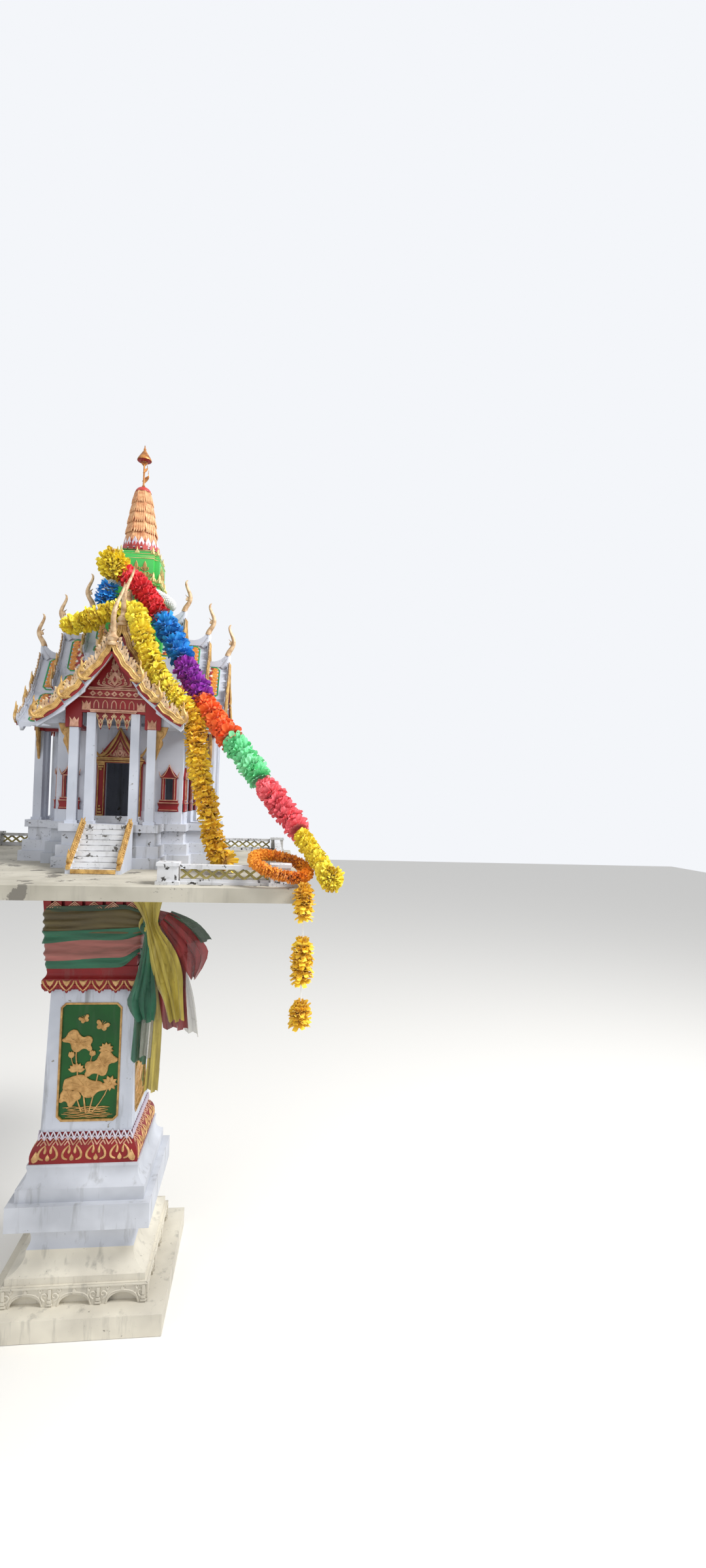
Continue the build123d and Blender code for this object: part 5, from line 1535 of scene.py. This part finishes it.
def butterfly(x, z, size, turn):
    """Four wings, a body and two feelers."""
    wings = []
    for hand in (1, -1):
        wings.append(plate([[(0, 0, 1), (hand * 0.55 * size, 0.7 * size), (hand * 0.95 * size, 0.62 * size),
                             (hand * 0.7 * size, 0.12 * size)]], 3.4, 1.2, 2))
        wings.append(plate([[(0, -0.02 * size, 1), (hand * 0.6 * size, 0.05 * size),
                             (hand * 0.62 * size, -0.4 * size), (hand * 0.2 * size, -0.42 * size)]], 3, 1.1, 2))
        wings.append(rod([(hand * 0.04 * size, 0.3 * size), (hand * 0.12 * size, 0.62 * size),
                          (hand * 0.24 * size, 0.85 * size)], 0.7))
    wings.append(rod([(0, -2, 0.34 * size), (0, -2.4, 0), (0, -2, -0.4 * size)], 0.09 * size, [0.7, 1.2, 0.5]))
    place = shift(x, 0, z) @ about("Y", radians(turn))
    for part in wings:
        part.data.transform(place)
    return wings

# %% [markdown]
# Leaves, stems and flowers are placed one by one from the photograph, in mm on the panel.

# %% One lotus panel, copied to the four sides
pond = []
pond += wavy_leaf(-16, 112, 128, 52, -14, 3)
pond += wavy_leaf(-58, 78, 62, 46, -8, 7)
pond += wavy_leaf(34, 178, 104, 50, 34, 5)
pond += wavy_leaf(-38, 252, 92, 48, -24, 9)
pond += stem([(-6, 26), (-12, 60), (-16, 92)], 2.6) + stem([(4, 28), (18, 90), (26, 140), (30, 160)], 2.2)
pond += stem([(-20, 28), (-40, 70), (-34, 150), (-46, 205), (-42, 232)], 2.2)
pond += stem([(14, 28), (50, 70), (62, 108)], 1.8) + stem([(-2, 150), (2, 190), (6, 206)], 1.6)
pond += stem([(-44, 160), (-56, 188), (-58, 200)], 1.5)
pond += petal_fan(66, 118, 24, 360, 9, 0.46)
pond += petal_fan(50, 226, 22, 200, 7, 0.5)
pond += petal_fan(-40, 158, 26, 150, 7, 0.5)
pond += petal_fan(8, 206, 17, 44, 3, 0.7) + petal_fan(-58, 200, 20, 34, 3, 0.6)
pond += [plate([[(66 + 5 * cos(a), 118 + 5 * sin(a)) for a in (0, 1.05, 2.1, 3.14, 4.2, 5.2)]], 8, 1.5, 2)]
pond += butterfly(-22, 322, 17, -22) + butterfly(34, 300, 22, 18)
draw = random.Random(12)
for row in range(7):
    height = 12 + row * 5.2
    start, end = -82 + draw.uniform(0, 26), 82 - draw.uniform(0, 30)
    steps = 9
    pond.append(rod([(start + (end - start) * step / steps, -0.2, height + 2.1 * sin(step * 2.1 + row * 1.7))
                     for step in range(steps + 1)], 1.5, [0.4] + [1.0] * (steps - 1) + [0.4]))
lotus_pond = joined(pond, "lotus_pond")
cut = 15
panel = plate([[(-96 + cut, 1, 1), (96 - cut, 1, 1), (96, 1 + cut, 1), (96, 377 - cut, 1), (96 - cut, 377, 1),
                (-96 + cut, 377, 1), (-96, 377 - cut, 1), (-96, 1 + cut, 1)]], 1.4, 0.2, 1)
LEAN = atan2(12, 452)
panel_places = [about("Z", turn) @ shift(0, -142 + 32 * 0.02655 + 6, 597)
                @ about("X", -LEAN) for turn in TURNS.values()]
finish(smooth(copies(panel, panel_places, "shaft_panel_grounds", 51), 30), panel_green, "green_paint")
raised = [place @ shift(0, -2.6, 0) for place in panel_places]
reliefs = copies(lotus_pond, raised, "lotus_pond_reliefs", 52)
discard(panel, lotus_pond)
finish(smooth(reliefs, 50), gilt_panel, "gold_paint")

# %% [markdown]
# The pillar's foot and capital sweep outwards. Rays cast at the CAD parts measure that
# sweep, and ornament that is drawn flat is pushed back on to it.

# %% Ornament that follows a swept side of the pillar
def swept_side(names, low, high):
    """Profile of (z, half width) in mm, measured on the front of the CAD parts."""
    trees = []
    for name in names:
        solid = bmesh.new()
        solid.from_mesh(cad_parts[name].data)
        solid.transform(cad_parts[name].matrix_world)
        trees.append(BVHTree.FromBMesh(solid))
        solid.free()
    profile = []
    for height in range(low, high + 1, 2):
        reach = 0.0
        for tree in trees:
            for x in (-60.3, -24.1, -12.2, 0.4, 11.7, 24.9, 61.2):
                hit = tree.ray_cast(Vector((x * MM, -0.5, height * MM)), Vector((0, 1, 0)))[0]
                if hit is not None:
                    reach = max(reach, -hit.y / MM)
        if reach:
            profile.append((height, reach))
    return profile


def follow(piece, profile):
    """Push a flat ornament back so that it lies on a profile of (z, half width) in mm."""
    heights = [height * MM for height, _ in profile]
    halves = [half * MM for _, half in profile]
    for corner in piece.data.vertices:
        corner.co.y -= float(np.interp(corner.co.z, heights, halves))
    return piece


def both_ways(middle, half_line, y=0):
    """Line through points (x, z) left of a middle, turned at it and mirrored to its right."""
    return ([(middle - x, y, z) for x, z in half_line]
            + [(middle + x, y, z) for x, z in reversed(half_line)])


def round_pillar(parts, profile, name, seed, material, slot):
    """Join one side's ornament, lay it on the profile and copy it to the four sides."""
    one = follow(joined(parts, name + "_model"), profile)
    finish(smooth(copies(one, [about("Z", turn) for turn in TURNS.values()], name, seed), 45), material, slot)
    discard(one)


foot_profile = swept_side(["lotus_foot"], 477, 564)
scroll_parts, chevron_parts, tip_parts = [], [], []
for index in range(4):
    middle = (index - 1.5) * 74
    for hand in (1, -1):
        line = [(11, 529), (20, 522), (28, 511), (29.5, 500), (23, 491), (13, 489)]
        scroll_parts.append(rod([(middle + hand * x, 0, z) for x, z in line], 3.4,
                                [0.3, 0.8, 1.05, 1.15, 1.1, 0.7], sides=2))
        bulb = [(11, 528), (7.5, 520), (9.5, 511), (9.5, 508)]
        scroll_parts.append(rod([(middle + hand * x, 0, z) for x, z in bulb], 3.6, [0.4, 0.9, 1.4, 0.8],
                                sides=2))
    scroll_parts.append(plate([[(middle, 503, 1), (middle + 5, 492), (middle, 487), (middle - 5, 492)]],
                              5, 1.8, 3))
for hand in (1, -1):
    scroll_parts.append(plate([[(hand * 147, 512, 1), (hand * 140, 500), (hand * 144, 486), (hand * 157, 484)]],
                              5, 1.8, 3))
FOOT_WIDTH, FRINGE_WIDTH = 292.7, 307
pitch = FOOT_WIDTH / 8
for index in range(8):
    middle = (index - 3.5) * pitch
    for half, low, high in ((pitch / 2, 529, 551), (9, 529, 539)):
        chevron_parts.append(rod(both_ways(middle, [(half, low), (0, high)]), 2.0))
pitch = FOOT_WIDTH / 16
for index in range(16):
    middle = (index - 7.5) * pitch
    tip_parts.append(rod(both_ways(middle, [(pitch / 2, 545), (pitch * 0.4, 552), (0, 569)]), 2.6,
                         [1, 1.1, 0.8, 0.8, 1.1, 1]))
    tip_parts.append(rod(both_ways(middle, [(pitch / 2, 541), (0, 552)]), 1.7))
for name, parts, material, slot in (("foot_scroll_pairs", scroll_parts, gilt_warm, "gold_paint"),
                                    ("foot_zigzags", chevron_parts, gilt_pink, "gold_paint"),
                                    ("foot_petal_tips", tip_parts, petal_white, "white_paint")):
    round_pillar(parts, foot_profile, name, 53, material, slot)

# %% [markdown]
# The fringe is six big petals over small red scallops. Nested chevrons ring the flare.

# %% The fringe and band of the capital
fringe_profile = swept_side(["capital_fringe"], 1018, 1082)
petal_parts, tooth_parts = [], []
pitch = FRINGE_WIDTH / 6
for index in range(6):
    middle = (index - 2.5) * pitch
    petal_parts.append(rod(both_ways(middle, [(23, 1052), (21, 1042), (11, 1028), (0, 1019)]), 3.2,
                           [0.7, 1, 1.1, 0.9, 0.9, 1.1, 1, 0.7], sides=2))
    petal_parts.append(plate([[(middle - 11, 1052, 1), (middle, 1049), (middle + 11, 1052, 1),
                               (middle + 6, 1041), (middle, 1034, 1), (middle - 6, 1041)]], 5, 1.7, 2))
for index in range(30):
    middle = (index - 14.5) * FRINGE_WIDTH / 30
    foot = 1017 + 16 * abs(((middle + FRINGE_WIDTH / 2) / pitch) % 1 - 0.5) * 2
    tooth_parts.append(plate([[(middle - 5.4, foot + 9, 1), (middle - 4, foot + 1), (middle, foot - 5),
                               (middle + 4, foot + 1), (middle + 5.4, foot + 9, 1)]], 5, 1.6, 2))
for name, parts, material, slot in (("fringe_petal_outlines", petal_parts, gilt_warm, "gold_paint"),
                                    ("fringe_scallops", tooth_parts, red_enamel, "red_paint")):
    round_pillar(parts, fringe_profile, name, 54, material, slot)
flare_profile = swept_side(["capital_flare"], 1270, 1383)
nested = []
for peak in (1306, 1368):
    for index in range(5):
        middle = (index - 2) * 60
        for inset in (0, 9, 17):
            half_line = [(26 - inset, peak - 21), (0, peak - inset * 0.7)]
            nested.append(rod(both_ways(middle, half_line, -1), 1.8))
round_pillar(nested, flare_profile, "capital_petal_outlines", 55, gilt_pink, "gold_paint")

# %% [markdown]
# The plinth's cream band has arches with a scroll at each foot, cast with the cement.

# %% Cast scrolls on the lion band of the plinth
lion_parts = []
for arch_place in (-1, 0, 1):
    middle = arch_place * 145.3
    lion_parts.append(rod([(middle - 50, 0, 68), (middle - 47, 0, 88), (middle - 30, 0, 104), (middle, 0, 108),
                           (middle + 30, 0, 104),
                           (middle + 47, 0, 88), (middle + 50, 0, 68)], 2.6))
    for hand in (1, -1):
        for x, z, reach in ((58, 98, 15), (46, 116, 7)):
            points = spiral(middle + hand * x, z, -90, -hand * 1.2, reach, 2.2, 8)
            lion_parts.append(rod([(a, -0.5, b) for a, b in points], 3.0,
                                  [1.1 - 0.07 * step for step in range(8)]))
    lion_parts.append(plate([[(middle - 5, 106, 1), (middle + 5, 106, 1), (middle + 4, 113), (middle, 122, 1),
                              (middle - 4, 113)]], 5, 1.5, 2))
for x in (-72.6, 72.6, -210, 210):
    for z, high, wide in ((70, 6, 18), (78, 10, 13), (90, 30, 9)):
        lion_parts.append(straight((x - wide / 2, z + high / 2), (x + wide / 2, z + high / 2), high, 5))
lion_parts.append(straight((-221, 124), (221, 124), 5, 4))
round_pillar(lion_parts, [(60, 218), (150, 218)], "lion_band_scrolls", 56, plinth_cream, "cream_paint")

# %% [markdown]
# ## Sashes
#
# Long nylon sashes are wound round the capital, one colour over another, and knotted at the front right corner,
# where their ends hang down. Each is one sheet: a grid whose rows follow the path of the cloth, with folds that
# run along it.

# %% One sheet of cloth from its rows
def cloth(name, rows, material, slot, held, rests_on, *replaced):
    """Sheet whose rows of points are given in mm."""
    clear()
    count_down, count_across = len(rows), len(rows[0])
    bpy.ops.mesh.primitive_grid_add(x_subdivisions=count_across - 1, y_subdivisions=count_down - 1, size=1)
    piece = bpy.context.object
    piece.name = piece.data.name = name
    for number, corner in enumerate(piece.data.vertices):
        corner.co = Vector(rows[number // count_across][number % count_across]) * MM
    smooth(piece, 80)
    finish(piece, material, slot, *replaced)
    return piece


def half_at(height):
    """Half width of the capital at a height, in mm."""
    return float(np.interp(height, (1070, 1083, 1149, 1160, 1240, 1290, 1384),
                           (146, 144, 147, 148, 151, 153, 161)))


KNOT_HEIGHT = 1234
SQUARENESS = 22.0


def wound(name, foot, top, proud, material, seed, slope=0.0, rows=26, *replaced):
    """Sash wound once round the capital between two heights. It is pulled to the knot."""
    draw = random.Random(seed)
    waves = [(draw.uniform(0.6, 1.4), draw.uniform(0, 6.3), draw.randint(1, 3), draw.uniform(0.8, 2.4))
             for _ in range(5)]
    edges = [(draw.uniform(0, 6.3), draw.randint(1, 4)) for _ in range(4)]
    steps = 176
    grid = []
    for row in range(rows):
        share = row / (rows - 1)
        line = []
        for step in range(steps + 1):
            around = step / steps
            angle = 2 * pi * around - pi / 4
            pull = exp(-((around if around < 0.5 else around - 1) / 0.022) ** 2)
            low, high = (edge + 4 * sin(waves_of * 2 * pi * around + start) + slope * sin(2 * pi * around + 0.9)
                         for edge, (start, waves_of) in zip((foot, top), edges))
            height = low + (high - low) * share
            height += (KNOT_HEIGHT + (height - KNOT_HEIGHT) * 0.7 - height) * pull
            fold = 0.0
            for size, phase, turns, folds in waves:
                drift = folds * share * (top - foot) / 48 + 0.12 * turns * sin(2 * pi * around * turns + phase)
                fold += 0.8 * size * sin(2 * pi * drift + phase)
            reach = half_at(height) + proud + fold + 1.5
            # a square with rounded corners, all the way round
            cosine, sine = cos(angle), sin(angle)
            radius = reach / ((abs(cosine) ** SQUARENESS + abs(sine) ** SQUARENESS) ** (1 / SQUARENESS))
            line.append((radius * cosine, radius * sine, height))
        grid.append(line)
    return cloth(name, grid, material, "sash_cloth", "stretched", ["capital_flare", "capital_fringe"],
                 *replaced)


# lower and upper edge, how far it stands off, cloth, slope of its edges and rows of its grid
windings = (("green_low", 1092, 1132, 3.0, wound_green, 0.0, 14), ("pink", 1120, 1190, 5.5, sash_pink, 3.0, 22),
            ("green_mid", 1180, 1218, 8.0, wound_green, 13.0, 16),
            ("olive", 1196, 1280, 6.0, sash_olive, 4.0, 30),
            ("green_high", 1268, 1294, 4.0, sash_dark, 3.0, 12))
for seed, (name, *edges, material, slope, rows) in enumerate(windings, 1):
    wound(f"wound_sash_{name}", *edges, material, seed, slope, rows, "sash_wrap")

# %% [markdown]
# The sashes are tied in one knot at the front right corner, and their ends hang from it
# in a bundle of folds. Each end is drawn between its left and its right edge, as the
# photograph shows them, and the folds deepen towards the hem.

# %% The ends that hang from the knot
def hung(name, left, right, material, seed, folds=4, depth=9, y=-178, lean=0.0, steps=34, columns=36,
         *replaced):
    """End of a sash between a left and a right edge, points (x, z) in mm, gathered in folds."""
    draw = random.Random(seed)
    phase, drift = draw.uniform(0, 6.3), draw.uniform(-0.8, 0.8)
    left_line = string_points([(x, 0, z) for x, z in left])
    right_line = string_points([(x, 0, z) for x, z in right])
    grid = []
    for row in range(steps):
        share = row / (steps - 1)
        a = left_line[round(share * (len(left_line) - 1))] / MM
        b = right_line[round(share * (len(right_line) - 1))] / MM
        line = []
        for column in range(columns):
            across = column / (columns - 1)
            turn = 2 * pi * 0.6 * folds * across + phase + drift * share + 0.5 * sin(3 * share + phase)
            deep = depth * (0.45 + 0.55 * share)
            push = deep * (sin(turn) + 0.3 * sin(2.3 * turn + 1.7 + 2 * share))
            slide = 0.05 * (b.x - a.x) * sin(2 * turn)
            hem = 5 * sin(turn * 0.8 + 1) * share ** 6
            line.append((a.x + (b.x - a.x) * across + slide, y + push + lean * share,
                         a.z + (b.z - a.z) * across + hem))
        grid.append(line)
    return cloth(name, grid, material, "sash_cloth", "hung", ["sash_knot"], *replaced)


# The knot: a turn of cloth gathered tight, with the sashes pulled into it
knot_parts = []
for turn, size, place in ((20, 30, (178, -172, 1240)), (-28, 26, (190, -176, 1224)),
                          (62, 24, (186, -180, 1250)), (100, 20, (172, -180, 1228))):
    clear()
    bpy.ops.mesh.primitive_torus_add(major_radius=size * 0.62 * MM, minor_radius=size * 0.42 * MM,
                                     major_segments=36, minor_segments=16)
    wrap = bpy.context.object
    draw = random.Random(turn)
    for corner in wrap.data.vertices:
        angle = atan2(corner.co.y, corner.co.x)
        round_about = atan2(corner.co.z, hypot(corner.co.x, corner.co.y) - size * 0.62 * MM)
        corner.co *= 1 + 0.06 * sin(7 * round_about + 2 * angle)
    wrap.data.transform(shift(*place) @ about("Y", radians(turn))
                        @ about("X", radians(70)))
    knot_parts.append(wrap)
knot = joined(knot_parts[:2], "sash_knot")
finish(smooth(knot, 80), sash_yellow, "sash_cloth", "sash_tails")
second_knot = joined(knot_parts[2:], "sash_knot_under")
finish(smooth(second_knot, 80), sash_green, "sash_cloth", "sash_tails")

# left edge, right edge, cloth, seed, folds, their depth, place in front, lean, rows and columns
ends = {
    "red": ([(192, 1256), (204, 1200), (210, 1130), (214, 1060), (226, 975), (238, 908)],
            [(214, 1286), (290, 1276), (308, 1190), (302, 1090), (306, 1010), (318, 902)], sash_red, 11, 4, 8,
            -182, 0, 34, 40),
    "red_lobe": ([(214, 1244), (250, 1190), (280, 1140), (300, 1096), (318, 1068)],
                 [(240, 1280), (300, 1244), (350, 1190), (382, 1140), (334, 1070)], sash_red, 12, 3, 8, -190, 0,
                 30, 30),
    "green": ([(170, 1226), (160, 1120), (136, 1030), (110, 982), (146, 936)],
              [(196, 1222), (200, 1130), (204, 1050), (212, 985), (206, 930)], sash_green, 13, 4, 9, -190, 0,
              34, 34),
    "grey": ([(250, 1150), (272, 1070), (290, 990), (296, 900)],
             [(276, 1170), (310, 1070), (336, 980), (350, 880)], sash_grey, 14, 3, 7, -174, 0, 30, 30),
    "yellow_low": ([(188, 1120), (196, 1000), (194, 860), (184, 706)],
                   [(226, 1110), (232, 1000), (232, 860), (224, 700)], sash_yellow, 15, 3, 7, -172, 0, 44, 28),
    "green_low": ([(156, 1110), (146, 1010), (140, 900), (134, 800)],
                  [(196, 1110), (192, 1010), (186, 900), (180, 790)], sash_green, 16, 3, 7, -166, 0, 40, 28),
    "grey_low": ([(172, 1090), (170, 1000), (166, 900), (162, 818)],
                 [(206, 1090), (206, 1000), (204, 900), (200, 812)], sash_grey, 17, 3, 6, -178, 0, 34, 26),
    "yellow": ([(122, 1326), (156, 1280), (172, 1236), (186, 1130), (208, 1040), (234, 1000), (250, 932)],
               [(222, 1326), (212, 1280), (206, 1236), (262, 1172), (292, 1090), (292, 1010), (300, 936)],
               sash_yellow, 18, 5, 9, -198, 4, 46, 48),
    "olive_lobe": ([(226, 1256), (262, 1226), (290, 1204), (312, 1184)],
                   [(250, 1284), (306, 1266), (352, 1232), (378, 1190)], sash_dark, 19, 3, 8, -184, 0, 26, 26),
}
for name, shape in ends.items():
    hung(f"hanging_sash_{name}", *shape, "sash_tails")

# %% [markdown]
# ## Stair, brackets and small weathered things
#
# A naga lies along each side of the stair: its round body carries scales and a crest of
# small flames, and its head lifts at the foot. The steps have a gilt strip at the foot,
# and black grime has gathered in the corner of every tread. Under the eaves, brackets
# curve down from the beam to the columns like fangs.

# %% Nagas of the stair
STAIR_TOP, STAIR_RUN, SLAB = 368, 152, 1424
for hand, name in ((-1, "left"), (1, "right")):
    x = hand * 70.5
    line = [(STAIR_TOP - 16, FLOOR + 20), (STAIR_TOP - 4, FLOOR + 10), (STAIR_TOP + 14, FLOOR + 2),
            (STAIR_TOP + 40, FLOOR - 20),
            (STAIR_TOP + 80, FLOOR - 54), (STAIR_TOP + 118, FLOOR - 86), (STAIR_TOP + 138, FLOOR - 102),
            (STAIR_TOP + 147, FLOOR - 106), (STAIR_TOP + 151, FLOOR - 96)]
    body = rod([(x, -reach, z) for reach, z in line], 6.6, [0.15, 0.6, 0.9, 1.0, 1.0, 1.05, 1.1, 1.0, 0.7],
               sides=3)
    parts = [body]
    stair_foot = STAIR_TOP + STAIR_RUN
    base = plate([[(STAIR_TOP - 2, FLOOR, 1), (stair_foot, SLAB + 15, 1), (stair_foot, SLAB + 21, 1),
                   (STAIR_TOP - 2, FLOOR + 6, 1)]], 13, 1.5, 1)
    base.data.transform(shift(x, 0, 0) @ about("Z", -pi / 2))
    parts.append(base)
    crest = leaf_flame(11, -0.5, 4.5)
    scale = plate([[(-0.5, 0.5, 1), (0.5, 0.5, 1), (0.5, 0), (0, -0.62, 1), (-0.5, 0)]], 0.4, 0.12, 2)
    crest_spots, scale_spots = [], []
    run = dist(line[2], line[6])
    slope = atan2(line[2][1] - line[6][1], line[6][0] - line[2][0])
    for step in range(19):
        share = step / 18
        reach = line[2][0] + (line[6][0] - line[2][0]) * share
        level = line[2][1] + (line[6][1] - line[2][1]) * share
        along = shift(x, -reach, level) @ about("Z", -pi / 2) @ about("Y", slope)
        crest_spots.append(along @ shift(0, 0, 6))
        for turn in (-60, -20, 20, 60, 100, -100):
            scale_spots.append(along @ about("X", radians(turn)) @ about("X", pi / 2)
                               @ shift(0, -6.6, 0) @ about("Y", pi / 2) @ Matrix.Scale(8, 4))
    parts.append(copies(crest, crest_spots, "crest", 1))
    parts.append(copies(scale, scale_spots, "scales", 1))
    head = curled_flame(26, 3.4)
    head.data.transform(shift(x, -(STAIR_TOP + 146), FLOOR - 94) @ about("Z", -pi / 2))
    parts.append(head)
    naga = joined(parts, f"naga_{name}")
    naga.data.transform(HOME)
    discard(crest, scale)
    finish(smooth(outwards(naga), 40), gilt, "gold_paint", f"naga_rail_{name}")

# %% [markdown]
# Grime lies in the corner of each tread in uneven lines, so their width is drawn by lot.

# %% Gilt strip and grime of the steps
strip_parts = [straight((-63, SLAB + 9), (63, SLAB + 9), 9, 3), straight((-63, SLAB + 3), (63, SLAB + 3), 3, 4)]
strip = joined(strip_parts, "gilt_strip_at_stair_foot")
strip.data.transform(HOME @ shift(0, -520, 0))
finish(smooth(strip, 30), gilt, "gold_paint")
dirt = []
for step in range(1, 10):
    level = SLAB + step * 137 / 9
    reach = STAIR_TOP + STAIR_RUN - step * STAIR_RUN / 9
    draw = random.Random(step)
    points = [(-61 + 122 * number / 14, -reach + draw.uniform(-1.2, -0.2), level + draw.uniform(-0.3, 0.3))
              for number in range(15)]
    if step < 9:
        dirt.append(rod(points, 1.3, [draw.uniform(0.3, 1.4) for _ in range(15)]))
    dirt.append(rod([(a, b, level - 137 / 9 + 0.5) for a, b, _ in points], 1.1,
                    [draw.uniform(0.2, 1.5) for _ in range(15)]))
grime_lines = joined(dirt, "grime_on_steps")
grime_lines.data.transform(HOME)
finish(smooth(grime_lines, 60), grime, "bare_cement")

# %% [markdown]
# A bracket is a cut plate with a curling line on both faces.

# %% Brackets under the eaves
bracket = plate([[(0, -10, 1), (2, 0, 1), (34, 0, 1), (31, -9), (25, -26), (15, -38, 1), (19, -52), (10, -72),
                  (2, -96, 1), (0, -60, 1)]],
                9, 1.8, 3)
curl_line = [(4, -14), (14, -12), (24, -16), (18, -28), (11, -34), (9, -50), (6, -66), (3, -84)]
curls = [rod([(x, y, z) for x, z in curl_line], 1.5, [0.6, 1, 1.1, 1, 1, 1, 0.8, 0.3]) for y in (-5, 5)]
bracket = joined([bracket, *curls], "bracket")
bracket_places = [edge_place(side, hand, reach - 13.5, 132.5, 312, 0)
                  for side, reach in gable_reach.items() for hand in (1, -1)]
brackets = copies(bracket, bracket_places, "fang_brackets", 71)
discard(bracket)
finish(smooth(outwards(brackets), 40), gilt_dull, "gold_paint", "eave_brackets")

# %% [markdown]
# ## Floor, light and the end
#
# A plain pale floor, a large soft light high on the right, as the sun stood, and an even
# world. At this level a colour renders about as it is written.

# %% Floor and lights
clear()
bpy.ops.mesh.primitive_plane_add(size=24, location=(0, 4, -0.0015))
floor = bpy.context.object
floor.name = "studio_floor"
floor_paint, floor_tree, floor_shader, _ = blank("pale_floor")
fill(floor_tree, floor_shader, {"Base Color": "#e9e7e2", "Roughness": 0.9})
floor.data.materials.append(floor_paint)

world = bpy.data.worlds.new("studio_sky")
bpy.context.scene.world = world
world.use_nodes = True
SKY_LIGHT = 0.75
sky_tree = world.node_tree
# the sky is white to the camera and in reflections, and lights the object a little less
shown = node(sky_tree, "Math", {0: node(sky_tree, "LightPath", {}, "Is Camera Ray"),
                                1: node(sky_tree, "LightPath", {}, "Is Glossy Ray")}, operation="MAXIMUM")
strength = node(sky_tree, "MapRange", {"Value": shown, "To Min": SKY_LIGHT})
fill(sky_tree, sky_tree.nodes["Background"], {"Color": "#f4f6fa", "Strength": strength})


def soft_light(name, place, aim, power, size):
    """Large soft square light."""
    data = bpy.data.lights.new(name, "AREA")
    data.energy = power
    data.size = size
    made = bpy.data.objects.new(name, data)
    made.location = place
    made.rotation_euler = (Vector(aim) - Vector(place)).to_track_quat("-Z", "Y").to_euler()
    bpy.context.scene.collection.objects.link(made)
    return made


soft_light("sun_side", (3.6, -1.6, 5.2), (0, 0, 1.6), 330, 1.6)
soft_light("front_fill", (-2.4, -4.0, 3.0), (0, 0, 1.6), 40, 3.0)
bpy.context.scene.view_settings.view_transform = "Standard"
